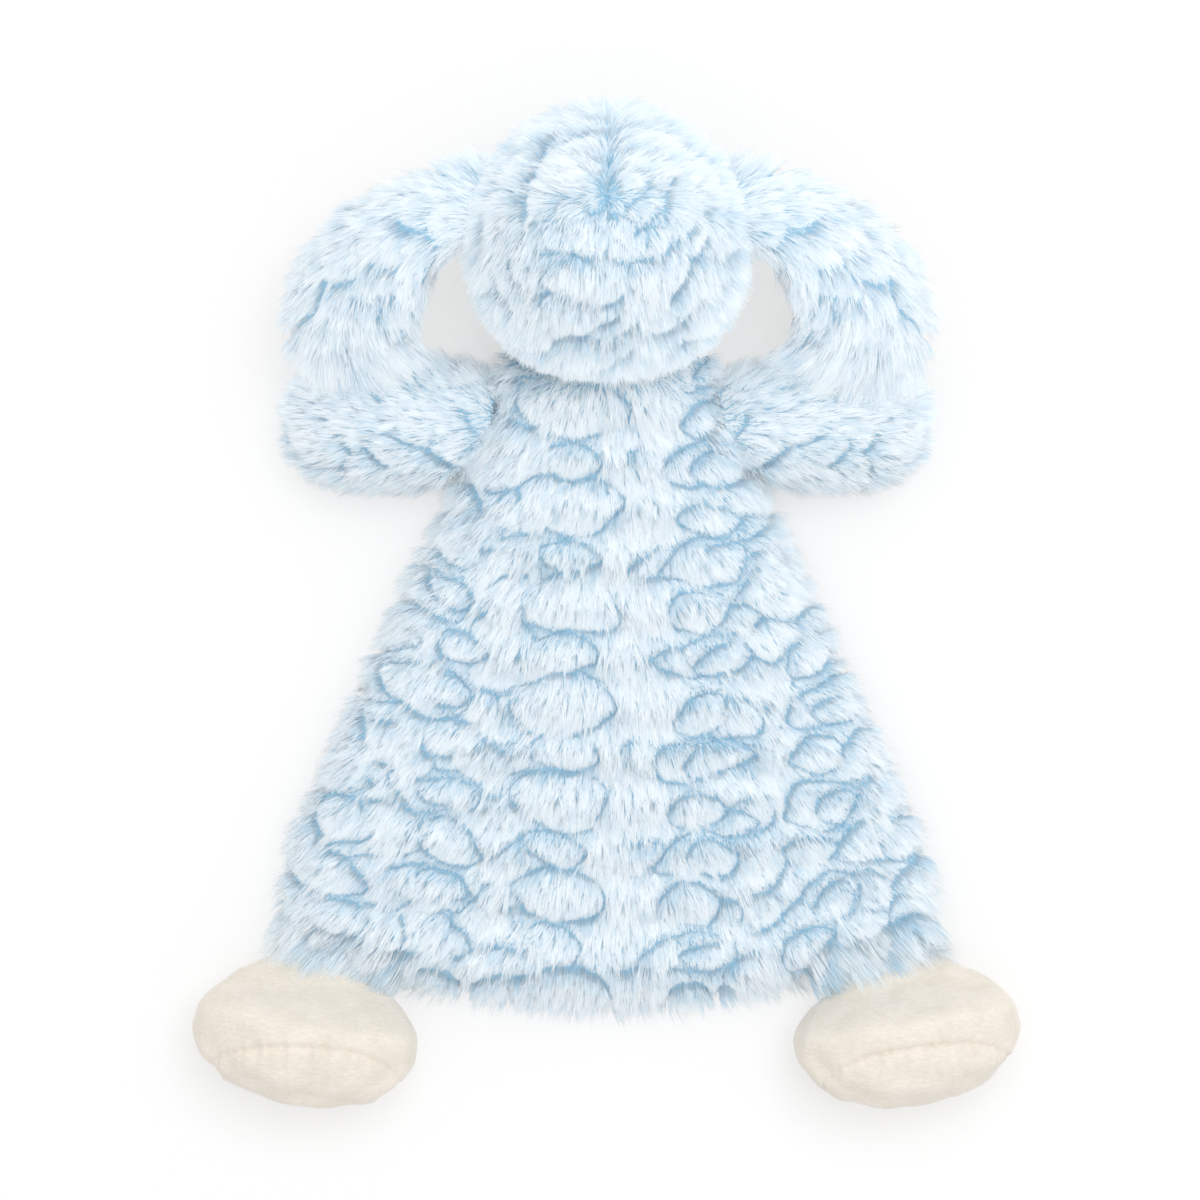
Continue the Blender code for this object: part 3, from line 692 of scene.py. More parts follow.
def torso_scales():
    """Oval scales in columns over shallower lobes of the ground between them.

    The pattern repeats down the back, as on the roll that embosses it. One repeat's places and half
    sizes are in millimetres, and each copy is shifted and tilted a little."""
    dice = np.random.default_rng(17)
    scales = []
    step = 32.4
    for index in range(-5, 4):
        y = 2.0 + step * index
        drift = 1.1 * index
        ground = (
            (-33, 8, 13, 8), (-34, -8, 11, 7), (51, 6, 12, 8), (50, -9, 11, 7),
            (-71, 4, 12, 8), (-70, -12, 12, 7), (88, 2, 12, 8), (87, -14, 12, 7),
            (-104, 6, 12, 8), (-104, -10, 12, 8), (106, 8, 10, 8), (106, -8, 10, 8),
            (-22, 0, 16, 7), (10, -17, 9, 5),
        )
        ovals = (
            (-12.5, 0, 17.2, 9.3), (-14.5, -16.3, 10.8, 6.6),
            (42, -6, 9, 5.5), (31, -4, 10, 6.2), (30.5, -19, 15.7, 7.2), (36, -20, 10, 5.6),
            (-49.5, -13, 9.5, 6), (-57, 3, 16, 8), (-52, 3, 9, 5),
            (69, -18, 9.5, 6), (74, -1.5, 15, 7.5), (78, -2, 9, 5),
            (-86, -8, 10, 6.5), (-90, 8, 14, 7), (101, -12, 10, 6), (-116, -4, 12, 7),
        )
        for depth, shift, kind in ((0.55, 3.5, ground), (0.8, 1.0, ovals)):
            for cu, cv, half_u, half_v in kind:
                lean = dice.uniform(-shift, shift, 2)
                place = (cu + drift + lean[0], y + cv + lean[1], half_u, half_v)
                tilt = math.radians(30) * math.tanh(cu / 80) + dice.normal(0, 0.08) * shift / 2
                scales.append((*[value * mm for value in place], tilt, depth))
    return scales


torso_pattern = SculptedPile(torso_scales(), pattern_reach, groove_width, seed=3, drift=1.7 * mm)


def torso_height(points, normals):
    """The pile's height at places on the torso, by their place on the flat fabric."""
    return torso_pattern.at(points[:, 0], points[:, 1])


def past_hem(points):
    """How far a place is past the seam that holds a foot, and how surely it is over a foot."""
    hinge = frame["joints"][-1]["pos_m"]
    side, down = np.abs(points[:, 0]) - abs(hinge[0]), hinge[1] - points[:, 1]
    beside = np.exp(-(((side - 2 * mm) / foot_half_span) ** 6))
    return side * math.sin(foot_angle) + down * math.cos(foot_angle), beside


def torso_lay(points, normals):
    """The nap runs down to the hem and fans out to the sides, and lies up over the feet."""
    half_width = np.interp(points[:, 1] / mm, *torso_half_widths) * mm
    angle = nap_fan * np.tanh(points[:, 0] / half_width * nap_fan_rate)
    past, over_foot = past_hem(points)
    near_foot = np.clip((past + over_foot_from) / over_foot_from, 0, 1)
    up = nap_over_foot * over_foot * near_foot - nap_into_cloth
    return np.stack([np.sin(angle), -np.cos(angle), up], axis=1)


def torso_pile_length(points, normals):
    """Longer round the edge, at the hem and in the armpits, longest over the feet, none in the arms."""
    edge = turned_down(normals)
    low = np.clip((-points[:, 1] - hem_from) / hem_span, 0, 1)
    side = pile_length + (side_pile_length - pile_length) * edge
    out = np.abs(points[:, 0])
    inside_arm = (out > arm_end[0]) & (np.abs(points[:, 1] - arm_end[1]) < arm_end_half_width)
    from_pit = np.hypot(out - armpit[0], points[:, 1] - armpit[1])
    in_pit = armpit_pile * np.exp(-((from_pit / armpit_span) ** 2))
    side = np.where(inside_arm, 0.0, side + in_pit)
    usual = side + (hem_pile_length - side) * edge * low
    past, over_foot = past_hem(points)
    hanging = np.clip((foot_cover - past) / hanging_share, usual, foot_pile_length)
    lower = np.clip((past + over_foot_from) / over_foot_span, 0, 1) * (over_foot > 0.5)
    return usual + (hanging - usual) * lower


torso = stuffed(
    "torso_cover",
    ("torso_back_panel", "torso_front_panel", "torso_wadding"),
    torso_voxel,
    torso_swell,
    pile_height,
)
emboss(torso, torso_height, relief)


def torso_seam_height(points):
    """The side seam's height: low round the hem, rising to the neck."""
    neck = frame["joints"][0]["pos_m"][1]
    return np.interp(points[:, 1], [neck - 52 * mm, neck + 10 * mm], torso_seam)


torso_back = panel_of(
    torso, "torso_back_cloth", lambda c: c[:, 2] >= torso_seam_height(c), painted_shade_ground
)
torso_front = panel_of(
    torso, "torso_front_cloth", lambda c: c[:, 2] < torso_seam_height(c), painted_shade_ground
)
bpy.data.objects.remove(torso)


def pressed_length(points, normals):
    return np.full(len(points), pressed_pile_length)


def sewn_cover(cover, slot, fill, *nodes):
    """Hides the CAD solids that a cover stands for; the cover, its slot and its fill are not used."""
    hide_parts(*nodes)


for cloth, density, seed, length, nodes in (
    (torso_back, back_density, 11, torso_pile_length, ("torso_back_panel", "torso_wadding")),
    (torso_front, front_density, 12, pressed_length, ("torso_front_panel",)),
):
    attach(cloth, "torso")
    name = cloth.name.replace("cloth", "pile")
    for pile in grow_pile(name, cloth, density, torso_lay, torso_height, seed, length):
        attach(pile, "torso")
    sewn_cover(cloth, "blue_plush", 0.3, *nodes)

# Head: a stuffed ball sewn from a face panel and two back panels that meet on a seam down the middle.
# The pile turns out from a whorl behind the crown, in rings of scales, and hangs over the neck.
head_voxel = 2.5 * mm
head_swell = 1.5 * mm
head_centre = np.array([0.0, 119.4, 50.0]) * mm
head_radii = np.array([45.0, 44.2, 36.5]) * mm
whorl = np.array([0.0, 0.226, 0.974])
head_radius = 42.0 * mm
ring_places = (7, 16, 26, 37, 51, 67, 84, 102, 119)
ring_depths = (6, 7, 7.5, 8.5, 11, 12, 13, 13, 13)
scale_width = 21.0
ring_stretch, ring_stretch_fade = 0.55, 35
ring_turn, ring_wander = 0.9, 2.2
ring_lengths, ring_heights = (0.95, 1.35), (0.85, 1.1)
parting_width = 0.08
parting_half = 0.12
head_cut = 0.6
crown_cut = 0.5
middle_seam = 0.9 * mm
seam_from, seam_from_fade = 8.0 * mm, 4.0 * mm
seam_to, seam_to_fade = 30.0 * mm, 8.0 * mm
seam_above = 60.0 * mm
seam_pinch = 0.8
head_density = 4.4
face_density = 2.2
face_pile = 3.0 * mm
face_pile_growth = 9.0 * mm
muzzle_place = np.array([0.0, 106.2]) * mm
muzzle_halves = np.array([22.5, 15.0]) * mm
eye_places = np.array([[-15.65, 131.8], [15.65, 131.8]]) * mm
eye_halves = np.array([3.4, 3.4]) * mm
rise_from_whorl = np.cross(whorl, [1.0, 0.0, 0.0])


def head_place(points):
    """A place on the head as a flat map's two coordinates, with the whorl in the middle."""
    facing = unit((points - head_centre) / head_radii)
    side, up = facing[:, 0], facing @ rise_from_whorl
    angle = np.arccos(np.clip(facing @ whorl, -1, 1))
    size = np.maximum(np.hypot(side, up), 1e-9)
    return angle * head_radius * side / size, angle * head_radius * up / size


def head_scales():
    """Rings of scales round the whorl, wider than high near it, the outer ones laid first."""
    dice = np.random.default_rng(15)
    scales = []
    for number in reversed(range(len(ring_places))):
        place = ring_places[number]
        stretch = 1 + ring_stretch * math.exp(-place / ring_stretch_fade)
        opening = math.sin(min(place * mm / head_radius, math.pi - 0.35))
        count = max(int(2 * math.pi * head_radius / mm * opening * stretch / scale_width), 5)
        for index in range(count):
            turn = 2 * math.pi * (index + dice.uniform(-0.2, 0.2)) / count + ring_turn * number
            radius = place + dice.normal(0, ring_wander)
            run = np.array([-stretch * math.sin(turn), math.cos(turn)])
            half = math.pi * place / count * np.hypot(*run) * dice.uniform(*ring_lengths)
            depth = ring_depths[number] * dice.uniform(*ring_heights)
            u, v = stretch * radius * math.cos(turn), radius * math.sin(turn)
            turned = math.atan2(run[1], run[0])
            cut = head_cut if v < 0 else crown_cut
            scales.append((u * mm, v * mm, half * mm, depth * mm, turned, cut))
    return scales


head_pattern = SculptedPile(head_scales(), pattern_reach, groove_width, seed=5, drift=2.2 * mm)


def head_height(points, normals):
    """The pile's height on the head, drawn down along the seam behind the crown."""
    height = head_pattern.at(*head_place(points))
    up = (points - head_centre) @ rise_from_whorl
    starts = np.clip((up + seam_from) / seam_from_fade, 0, 1)
    ends = np.clip((seam_to - up) / seam_to_fade, 0, 1)
    on_top = points[:, 2] > seam_above
    pinch = np.exp(-((points[:, 0] / middle_seam) ** 2)) * (starts * ends) * on_top
    return height * (1 - seam_pinch * pinch)


def head_lay(points, normals):
    """Parted to both sides above the whorl, hanging straight below it, and turned out further off."""
    facing = unit((points - head_centre) / head_radii)
    side, up = facing[:, :1], (facing @ rise_from_whorl)[:, None]
    sideways = np.array([[1.0, 0.0, 0.0]])
    parted = np.tanh(side / parting_width) * sideways + (0.25 + 0.5 * up) * rise_from_whorl
    hanging = 0.7 * side * sideways - rise_from_whorl
    above = np.clip((up + parting_half) / (2 * parting_half), 0, 1)
    near = np.clip((facing @ whorl)[:, None] * 1.6, 0, 1)
    away = unit(facing * (facing @ whorl)[:, None] - whorl)
    return (parted * above + hanging * (1 - above)) * near + away * (1 - near)


def head_pile_length(points, normals):
    """The full pile, trimmed short on the face and left off under the muzzle and the eyes."""
    length = np.full(len(points), pile_length)
    under = points[:, 2] < head_centre[2]
    bare = [(muzzle_place, muzzle_halves), *[(place, eye_halves) for place in eye_places]]
    for place, halves in bare:
        off = np.linalg.norm((points[:, :2] - place) / halves, axis=1)
        cut = np.where(off < 1, 0.0, face_pile + (off - 1) * face_pile_growth)
        length = np.where(under, np.minimum(length, cut), length)
    return length


head = stuffed(
    "head_cover",
    ("face_panel", "head_back_left_panel", "head_back_right_panel", "head_filling"),
    head_voxel,
    head_swell,
    pile_height,
)
emboss(head, head_height, relief)


def on_face(c):
    return c[:, 2] < head_centre[2]


for name, belongs, density, seed, nodes in (
    ("face", on_face, face_density, 21, ("face_panel", "head_filling")),
    (
        "head_back_left", lambda c: ~on_face(c) & (c[:, 0] < 0), head_density, 22,
        ("head_back_left_panel",),
    ),
    (
        "head_back_right", lambda c: ~on_face(c) & (c[:, 0] >= 0), head_density, 23,
        ("head_back_right_panel",),
    ),
):
    cloth = panel_of(head, f"{name}_cloth", belongs, painted_shade_ground)
    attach(cloth, "head")
    for pile in grow_pile(
        f"{name}_pile", cloth, density, head_lay, head_height, seed, head_pile_length
    ):
        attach(pile, "head")
    sewn_cover(cloth, "blue_plush", 0.8, *nodes)
bpy.data.objects.remove(head)

# Ears: a plush layer lined with velour, turned out and sewn by one short edge to the side seam of
# the head. Each bends down at the tip, and its pile runs from the root round to the tip.
ear_voxel = 2.0 * mm
ear_bend = np.array([50.0, 92.0]) * mm
ear_bend_radius = 37.0 * mm
ear_root_angle = math.radians(96)
ear_row = 13.0
limb_scale_width = 17.0
limb_cut = 0.5
limb_pattern_reach = 130 * mm
limb_drift = 2.0 * mm
limb_wander = 2.5
limb_scale_shares, limb_scale_sizes = np.array([0.85, 0.58]), (0.85, 1.2)
limb_scale_turn = 0.15
ear_swell = 1.0 * mm
ear_inset = 1.6 * mm
ear_sewn_end = 9.0 * mm
ear_tuck = 6.0 * mm
ear_pile = 10.0 * mm
ear_tip_pile = 15.0 * mm
ear_tip_from = 58.0 * mm
ear_tip_span = 12.0 * mm
ear_hang = {"left": 4.5 * mm, "right": 7.5 * mm}
ear_hang_from = 35.0 * mm
ear_half_width = 18.0 * mm
ear_nap_out, ear_nap_down = 0.85, 0.15
lining_slope = -0.35


def ear_place(points):
    """How far along the ear a place is, and how far out from the middle of its bend."""
    x, y = np.abs(points[:, 0]) - ear_bend[0], points[:, 1] - ear_bend[1]
    angle = np.arctan2(y, x)
    return (ear_root_angle - angle) * ear_bend_radius, np.hypot(x, y) - ear_bend_radius


def rows_of_scales(row, width, rows, half_rows, cut, seed, lean=0.0):
    """Rows across a strip of fabric, each laid over the next one along."""
    dice = np.random.default_rng(seed)
    scales = []
    for index in reversed(range(rows)):
        for step in range(-half_rows, half_rows + 1):
            stagger = 0.5 * (index % 2)
            across = (step + stagger) * width + dice.uniform(-limb_wander, limb_wander)
            along = index * row + lean * abs(across) + dice.uniform(-limb_wander, limb_wander)
            half = np.array([row, width]) * limb_scale_shares * dice.uniform(*limb_scale_sizes, 2) * mm
            scales.append((along * mm, across * mm, *half, dice.normal(0, limb_scale_turn), cut))
    return scales


ear_scales = rows_of_scales(ear_row, limb_scale_width, 9, 2, limb_cut, 61)
ear_pattern = SculptedPile(ear_scales, limb_pattern_reach, groove_width, seed=6, drift=limb_drift)


def ear_height(points, normals):
    return ear_pattern.at(*ear_place(points))


def ear_lay(points, normals):
    """Along the bend from root to tip, and a little outwards near the edges."""
    side = np.sign(points[:, 0])
    x, y = np.abs(points[:, 0]) - ear_bend[0], points[:, 1] - ear_bend[1]
    out = unit(np.stack([x, y, np.zeros(len(x))], axis=1))
    round_bend = np.stack([out[:, 1], -out[:, 0], np.zeros(len(x))], axis=1)
    edge = np.clip((np.hypot(x, y) - ear_bend_radius) / ear_half_width, -1, 1)[:, None]
    run = round_bend + out * edge * ear_nap_out + np.array([0, 0, -ear_nap_down])
    run[:, 0] *= side
    return run


def ear_pile_length(points, normals):
    """Longer round the tip, which hangs over the arm."""
    along, _ = ear_place(points)
    at_tip = np.clip((along - ear_tip_from) / ear_tip_span, 0, 1)
    return ear_pile + (ear_tip_pile - ear_pile) * at_tip


# Polyester velour, knitted and sheared: a short close nap with a soft sheen, marked lighter and
# darker where it has been stroked. The 0.3 mm nap is drawn at 0.8 mm so that it shows at all.
cream_velour, velour_surface = new_material("sheared_cream_velour")
nap_width = 0.8 * mm
stroke_width = 9.0 * mm
place = add_node(cream_velour, "ShaderNodeTexCoord")
strokes = add_node(
    cream_velour,
    "ShaderNodeTexNoise",
    {"Vector": place.outputs["Object"], "Scale": 1 / stroke_width, "Detail": 3.0},
)
courses = add_node(
    cream_velour, "ShaderNodeMapping", {"Vector": place.outputs["Object"], "Scale": (0.35, 1, 1)}
)
nap = add_node(
    cream_velour,
    "ShaderNodeTexNoise",
    {"Vector": courses.outputs["Vector"], "Scale": 1 / nap_width, "Detail": 2.0},
)
stroked = add_node(
    cream_velour,
    "ShaderNodeValToRGB",
    {"Fac": strokes.outputs["Fac"]},
    stops=((0.35, "#E7E0D4"), (0.65, "#EEE7DD")),
)
nap_shade = add_node(
    cream_velour,
    "ShaderNodeValToRGB",
    {"Fac": nap.outputs["Fac"]},
    stops=((0.3, "#F6F4F1"), (0.7, "#FFFFFF")),
)
napped = add_node(
    cream_velour,
    "ShaderNodeMix",
    {0: 1.0, 6: stroked.outputs["Color"], 7: nap_shade.outputs["Color"]},
    data_type="RGBA",
    blend_type="MULTIPLY",
)
raised = add_node(
    cream_velour,
    "ShaderNodeBump",
    {"Height": nap.outputs["Fac"], "Strength": 0.25, "Distance": 0.3 * mm},
)
velour_shader = add_node(
    cream_velour,
    "ShaderNodeBsdfPrincipled",
    {
        "Base Color": napped.outputs[2],
        "Normal": raised.outputs["Normal"],
        "Roughness": 0.8,
        "Specular IOR Level": 0.2,
        "Sheen Weight": 0.35,
        "Sheen Roughness": 0.4,
    },
)
velour_surface(velour_shader)


def tuck_in(piece, joint, outward, inner, depth):
    """Draws the sewn end of an arm or an ear into what it is sewn to, past the joint's clearance."""
    hinge = np.array(joint["pos_m"])
    points, _ = points_of(piece.data)
    along = (points - hinge) @ outward
    share = np.clip((inner - along) / inner, 0, 1) ** 0.7
    set_points(piece.data, points - outward * (share * depth)[:, None])


joints = {joint["name"]: joint for joint in frame["joints"]}
for side, label in ((-1, "left"), (1, "right")):
    joint = joints[f"{label}_ear_lift"]
    hinge = np.array(joint["pos_m"])
    outward = np.array([side * 0.978, -0.208, 0.0])
    nodes = (f"{label}_ear_plush", f"{label}_ear_lining")
    ear = stuffed(f"{label}_ear_cover", nodes, ear_voxel, ear_swell, ear_inset)
    tuck_in(ear, joint, outward, ear_sewn_end, ear_tuck)
    points, normals = points_of(ear.data)
    run = unit(ear_lay(points, normals))
    share = np.clip((ear_place(points)[0] - ear_hang_from) / ear_hang_from, 0, 1) ** 1.5
    set_points(ear.data, points + run * (share * ear_hang[label])[:, None])
    lining_faces = np.array([polygon.normal.z < lining_slope for polygon in ear.data.polygons])
    plush = panel_of(ear, f"{label}_ear_cloth", lambda c: ~lining_faces, painted_shade_ground)
    lining = panel_of(ear, f"{label}_ear_velour", lambda c: lining_faces, cream_velour)
    bpy.data.objects.remove(ear)
    piles = grow_pile(
        f"{label}_ear_pile", plush, back_density, ear_lay, ear_height, 30 + side, ear_pile_length,
        rise=0.8,
    )
    for piece in (plush, lining, *piles):
        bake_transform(piece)
    sewn_cover(plush, "blue_plush", 0.2, f"{label}_ear_plush")
    sewn_cover(lining, "cream_velour", 0.2, f"{label}_ear_lining")

# Arms: short stuffed limbs of the same plush, each a back and a front panel round its filling, sewn
# shut into the shoulder. Their pile runs straight out to the rounded ends.
arm_voxel = 2.5 * mm
arm_row = 11.5
arm_middle = 62.8 * mm
arm_fullness = 1.2
arm_pile = 8.8 * mm
arm_parting = 60.0 * mm
arm_spread = 45.0 * mm
arm_front_density = 2.2
arm_seam_height = 17.0 * mm
arm_sewn = 36.0 * mm
arm_sewn_below = 43.0 * mm
arm_swell = 1.5 * mm
arm_sewn_end = 32.0 * mm
arm_tuck = 16.0 * mm
arm_scales = rows_of_scales(arm_row, limb_scale_width, 11, 5, limb_cut, 81, lean=-0.15)
arm_pattern = SculptedPile(arm_scales, limb_pattern_reach, groove_width, seed=8, drift=limb_drift)


def arm_height(points, normals):
    around = points[:, 1] + 0.5 * (points[:, 2] - arm_seam_height) - arm_parting
    return arm_pattern.at(np.abs(points[:, 0]), around)


def arm_lay(points, normals):
    side = np.sign(points[:, 0])
    spread = (points[:, 1] - arm_parting) / arm_spread
    return np.stack([side, spread, np.full(len(side), -0.2)], axis=1)


def arm_pile_length(points, normals):
    """The same all over, and none where the end is sewn into the shoulder, but for its underside."""
    above = points[:, 2] > arm_seam_height
    inside = np.abs(points[:, 0]) < np.where(above, arm_sewn, arm_sewn_below)
    return np.where(inside & (above | (normals[:, 2] > -0.6)), 0.0, arm_pile)


for side, label in ((-1, "left"), (1, "right")):
    joint = joints[f"{label}_arm_swing"]
    hinge = np.array(joint["pos_m"])
    outward = np.array([float(side), 0.0, 0.0])
    nodes = [f"{label}_arm_{part}" for part in ("back_panel", "front_panel", "filling")]
    arm = stuffed(f"{label}_arm_cover", nodes, arm_voxel, arm_swell, pile_height)
    tuck_in(arm, joint, outward, arm_sewn_end, arm_tuck)
    points, _ = points_of(arm.data)
    points[:, 1] = arm_middle + (points[:, 1] - arm_middle) * arm_fullness
    set_points(arm.data, points)
    emboss(arm, arm_height, relief)
    for part, sign, density, nodes in (
        ("back", 1, back_density, (f"{label}_arm_back_panel",)),
        ("front", -1, arm_front_density, (f"{label}_arm_front_panel", f"{label}_arm_filling")),
    ):
        cloth = panel_of(
            arm,
            f"{label}_arm_{part}_cloth",
            lambda c: sign * (c[:, 2] - arm_seam_height) > 0,
            painted_shade_ground,
        )
        piles = grow_pile(
            f"{label}_arm_{part}_pile", cloth, density, arm_lay, arm_height,
            40 + side + 3 * sign, arm_pile_length,
        )
        for piece in (cloth, *piles):
            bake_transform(piece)
        sewn_cover(cloth, "blue_plush", 0.7, *nodes)
    bpy.data.objects.remove(arm)

# Feet: stuffed ovals of cream velour, an upper and a sole joined by a bowed seam that gathers the
# sole a little, and sewn to the corners of the hem, where each narrows down to the hem's own height.
foot_voxel = 1.7 * mm
foot_reach = 27.5 * mm
foot_middle_height = 21.7 * mm
sewn_in = 5.0 * mm
sewn_share = 12.0 * mm
rounded_half = 24.0 * mm
foot_turn = math.radians(8)
foot_settle = 3.0 * mm
foot_widening = 0.04
hem_end_height = 0.12
hem_end_width = 0.74
narrowing = 25.0 * mm
settling = 15.0 * mm
foot_swell = 1.5 * mm
foot_inset = 0.3 * mm
sole_setback = 15.5 * mm
sole_splay = {"left": math.radians(1), "right": math.radians(8)}
sole_tilt = math.radians(68)
sole_half_width = 31.0 * mm
sole_bow = 3.2 * mm
foot_seam_depth = 1.2 * mm
foot_seam_width = 0.9 * mm
stitch_depth = 0.25 * mm
stitch_spacing = 0.45 * mm
stitch_reach = 1.5 * mm
gather_depth = 0.6 * mm
gather_waves = (1.25 * mm, 0.72 * mm)
gather_reach = {"sole": 7.0 * mm, "upper": 2.0 * mm}
dimple_depth = 0.5 * mm
dimple_wave = 5.0 * mm
dimple_rise = 15.0 * mm
for side, label in ((-1, "left"), (1, "right")):
    joint = joints[f"{label}_foot_swing"]
    hinge = np.array(joint["pos_m"])
    outward = np.array([side * math.sin(foot_angle), -math.cos(foot_angle), 0.0])
    across_foot = np.array([math.cos(foot_angle), side * math.sin(foot_angle), 0.0])
    nodes = [f"{label}_foot_{part}" for part in ("upper", "sole", "filling")]
    foot = stuffed(f"{label}_foot_cover", nodes, foot_voxel, foot_swell, foot_inset)

    # The sewn end is drawn into the hem in a round line and pinched down to the hem's height, and the
    # rest is turned a little outwards
    points, _ = points_of(foot.data)
    along = (points - hinge) @ outward
    run = (points - hinge) @ across_foot
    sewn = np.clip(1 - along / sewn_share, 0, 1) ** 0.7
    rounding = np.clip(1 - 1.6 * (run / rounded_half) ** 2, -1.6, 1)
    points = points - outward * (sewn * rounding * sewn_in)[:, None]
    share = np.clip(along / narrowing, 0, 1)
    eased = share * share * (3 - 2 * share)
    points[:, 2] = hinge[2] + (points[:, 2] - hinge[2]) * (
        hem_end_height + (1 - hem_end_height) * eased**1.5
    )
    slimmer = (1 - hem_end_width) * (1 - eased)
    settled = np.clip(along / settling, 0, 1)
    points = points - across_foot * (run * (slimmer - foot_widening * settled))[:, None]
    points = points + outward * (foot_settle * settled)[:, None]
    angle = side * foot_turn * settled
    place = points[:, :2] - (hinge + outward * foot_reach)[:2]
    turned = np.stack([np.cos(angle) - 1, np.sin(angle)], axis=1)
    points[:, 0] += place[:, 0] * turned[:, 0] + place[:, 1] * turned[:, 1]
    points[:, 1] += place[:, 1] * turned[:, 0] - place[:, 0] * turned[:, 1]
    set_points(foot.data, points)

    sole_middle = hinge + outward * (foot_reach + sole_setback)
    sole_middle[2] = foot_middle_height
    splay = sole_splay[label]
    seam_line = np.array([math.cos(splay), side * math.sin(splay), 0.0])
    through = np.array([seam_line[1], -seam_line[0], 0.0]) * math.sin(sole_tilt)
    through[2] = math.cos(sole_tilt)

    def past_seam(places):
        """How far a place is past the seam into the sole, and how far along the seam it is."""
        run = (places - sole_middle) @ seam_line
        bow = sole_bow * np.abs(run / sole_half_width) ** 3.5
        return (places - sole_middle) @ through - bow, run

    # The seam lies in a groove, with a stitch every few threads and the cloth gathered beside it
    points, normals = points_of(foot.data)
    off, run = past_seam(points)
    fade = np.clip(1.25 - np.abs(run) / sole_half_width, 0, 1)
    seam = np.exp(-((off / foot_seam_width) ** 2)) * foot_seam_depth * (0.4 + 0.6 * fade)
    stitches = np.exp(-np.abs(off) / stitch_reach) * stitch_depth * np.sin(run / stitch_spacing)
    reach = np.where(off > 0, gather_reach["sole"], gather_reach["upper"])
    wide, narrow = gather_waves
    folds = np.sin(run / wide + 1.5 * side) + np.sin(run / narrow + 2 * side + 1.0)
    gathers = np.exp(-np.abs(off) / reach) * gather_depth * folds / 2 * fade
    round_foot = points[:, 0] * 1.3, points[:, 1] + points[:, 2]
    drift = wobble(*round_foot, dimple_wave, dimple_depth, 50 + side)
    dimples = drift[0] * np.clip(points[:, 2] / dimple_rise, 0, 1)
    points = points - normals * (seam + stitches + gathers + dimples)[:, None]
    points[:, 2] = np.maximum(points[:, 2], 0.0)
    set_points(foot.data, points)
    for part, sign, nodes in (
        ("upper", -1, (f"{label}_foot_upper", f"{label}_foot_filling")),
        ("sole", 1, (f"{label}_foot_sole",)),
    ):
        cover = panel_of(
            foot,
            f"{label}_foot_{part}_velour",
            lambda c: sign * past_seam(c)[0] > 0,
            cream_velour,
        )
        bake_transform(cover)
        sewn_cover(cover, "cream_velour", 0.8, *nodes)
    bpy.data.objects.remove(foot)

# Muzzle: a small stuffed pad of cream velour, hand-sewn to the face all round, with a shallow seam
# down its middle.
muzzle_voxel = 1.5 * mm
muzzle_swell = 0.8 * mm
muzzle_inset = 0.2 * mm
muzzle_seam_depth = 0.6 * mm
muzzle_seam_width = 0.8 * mm
muzzle_edge_from = 10.0 * mm
muzzle_edge_span = 8.0 * mm
muzzle_edge_rise = 1.3 * pile_height
muzzle_nodes = ("muzzle_cover", "muzzle_filling")
muzzle = stuffed("muzzle_velour", muzzle_nodes, muzzle_voxel, muzzle_swell, muzzle_inset)
points, normals = points_of(muzzle.data)
crease = np.exp(-((points[:, 0] / muzzle_seam_width) ** 2)) * (normals[:, 2] < 0.3)
points = points - normals * (crease * muzzle_seam_depth)[:, None]

# Its sewn edge reaches up through the pile to the ground of the face
share = np.clip((points[:, 2] - muzzle_edge_from) / muzzle_edge_span, 0, 1)
points[:, 2] += muzzle_edge_rise * share
points[:, 2] = np.maximum(points[:, 2], 0.0)
set_points(muzzle.data, points)
muzzle.data.materials.clear()
muzzle.data.materials.append(cream_velour)
muzzle.data.shade_smooth()
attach(muzzle, "head")
sewn_cover(muzzle, "cream_velour", 0.8, *muzzle_nodes)

# Nose, eyes and mouth: embroidered in brown thread. The nose and eyes are satin stitches side by
# side, each passing down into the fabric at its ends, and the mouth is one line of twisted thread.
# The nose and the mouth lie on the muzzle's velour.
thread_width = 0.8 * mm
thread_spacing = 0.656 * mm
eye_sink = 4.2 * mm
nose_sink = 0.8 * mm
mouth_half_width = 7.5 * mm
mouth_curl = 2.6 * mm
mouth_middle_y = 96.375 * mm
mouth_thread = 0.6 * mm
ply_pitch = 2.4 * mm

# Polyester embroidery thread, drawn and twisted: smooth filaments that lie parallel, so each stitch
# has a soft gloss along it. The 0.4 mm thread is drawn at 0.8 mm so that the stitches show.
embroidery_thread, thread_surface = new_material("brown_embroidery_thread")
thread_place = add_node(embroidery_thread, "ShaderNodeTexCoord")
filament_width = 0.25 * mm
filaments = add_node(
    embroidery_thread,
    "ShaderNodeTexNoise",
    {"Vector": thread_place.outputs["Object"], "Scale": 1 / filament_width, "Detail": 2.0},
)
thread_shade = add_node(
    embroidery_thread,
    "ShaderNodeValToRGB",
    {"Fac": filaments.outputs["Fac"]},
    stops=((0.3, "#4E3B30"), (0.7, "#6A5345")),
)
thread_shader = add_node(
    embroidery_thread,
    "ShaderNodeBsdfPrincipled",
    {
        "Base Color": thread_shade.outputs["Color"],
        "Roughness": 0.42,
        "Specular IOR Level": 0.45,
        "Sheen Weight": 0.15,
    },
)
thread_surface(thread_shader)


def underside_of(mesh):
    """The height of a mesh's underside at a place, or None where it has none."""
    tree = BVHTree.FromPolygons(
        [vertex.co for vertex in mesh.vertices], [face.vertices for face in mesh.polygons]
    )

    def height(x, y):
        hit = tree.ray_cast(Vector((x, y, -0.1)), Vector((0, 0, 1)))[0]
        return None if hit is None else hit.z

    return height


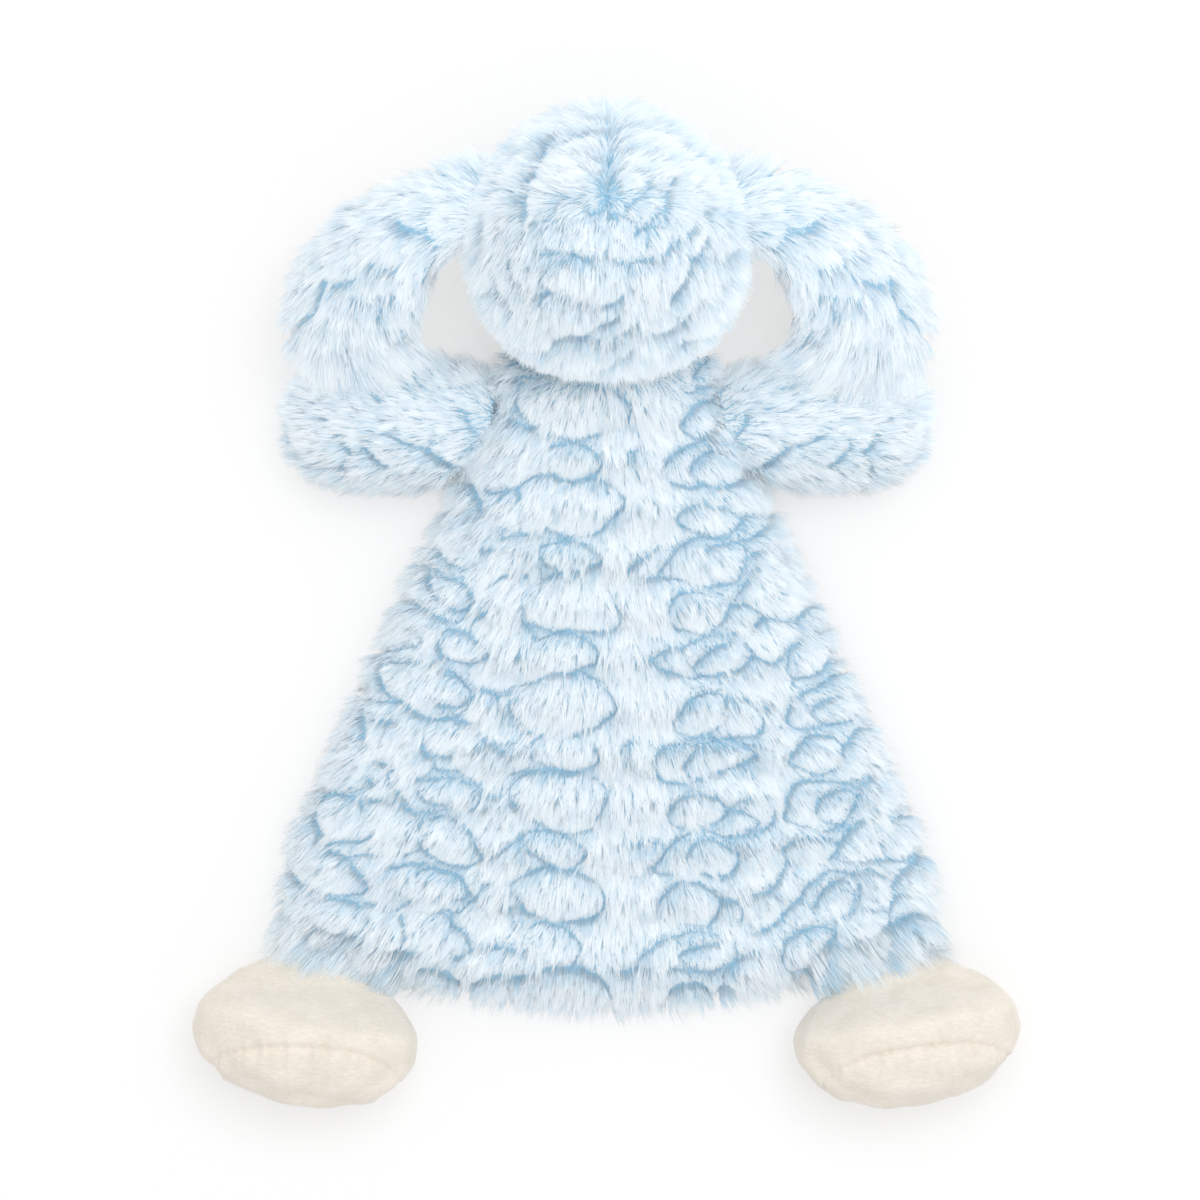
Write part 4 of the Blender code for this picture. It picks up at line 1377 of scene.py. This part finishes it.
def threads(name, node, paths, width):
    """Round threads along their paths, as one piece that replaces a node."""
    curve = bpy.data.curves.new(name, "CURVE")
    curve.dimensions = "3D"
    curve.bevel_depth = width / 2
    curve.bevel_resolution = 2
    for path in paths:
        spline = curve.splines.new("POLY")
        spline.points.add(len(path) - 1)
        spline.points.foreach_set("co", [value for place in path for value in (*place, 1.0)])
    made = link(name, curve)
    graph = bpy.context.evaluated_depsgraph_get()
    mesh = bpy.data.meshes.new_from_object(made.evaluated_get(graph))
    bpy.data.objects.remove(made)
    mesh.materials.clear()
    mesh.materials.append(embroidery_thread)
    mesh.shade_smooth()
    piece = link(name, mesh)
    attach(piece, "head")
    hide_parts(node)


def satin_stitches(name, node, sink, laid_at):
    """Parallel threads over a patch, from its upper edge to its lower one, at the height given."""
    low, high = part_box(node)
    patch = underside_of(frame["nodes"][node].data)
    paths = []
    for x in np.arange(low[0] + 0.25 * thread_width, high[0], thread_spacing):
        covered = [y for y in np.linspace(low[1], high[1], 41) if patch(x, y) is not None]
        places = [(x, y, laid_at(x, y)) for y in covered if laid_at(x, y) is not None]
        if len(places) < 4:
            continue
        ends = [(place[0], place[1], place[2] + sink) for place in (places[0], places[-1])]
        paths.append([ends[0], *places[:: max(len(places) // 9, 1)], places[-1], ends[1]])
    threads(name, node, paths, thread_width)


on_muzzle = underside_of(muzzle.data)
satin_stitches("nose_stitches", "nose", nose_sink, on_muzzle)
for label in ("left", "right"):
    eye_patch = underside_of(frame["nodes"][f"{label}_eye"].data)
    satin_stitches(f"{label}_eye_stitches", f"{label}_eye", eye_sink, eye_patch)
plies = []
for turned in (0.0, math.pi):
    ply = []
    for x in np.linspace(-mouth_half_width, mouth_half_width, 61):
        y = mouth_middle_y - mouth_curl * math.sin(math.pi * abs(x) / mouth_half_width)
        z = on_muzzle(x, y)
        if z is not None:
            twist = 2 * math.pi * x / ply_pitch + turned
            wound = mouth_thread * 0.5
            ply.append((x, y + wound * math.cos(twist), z + wound * math.sin(twist)))
    plies.append(ply)
threads("mouth_stitches", "mouth_stitch", plies, mouth_thread)
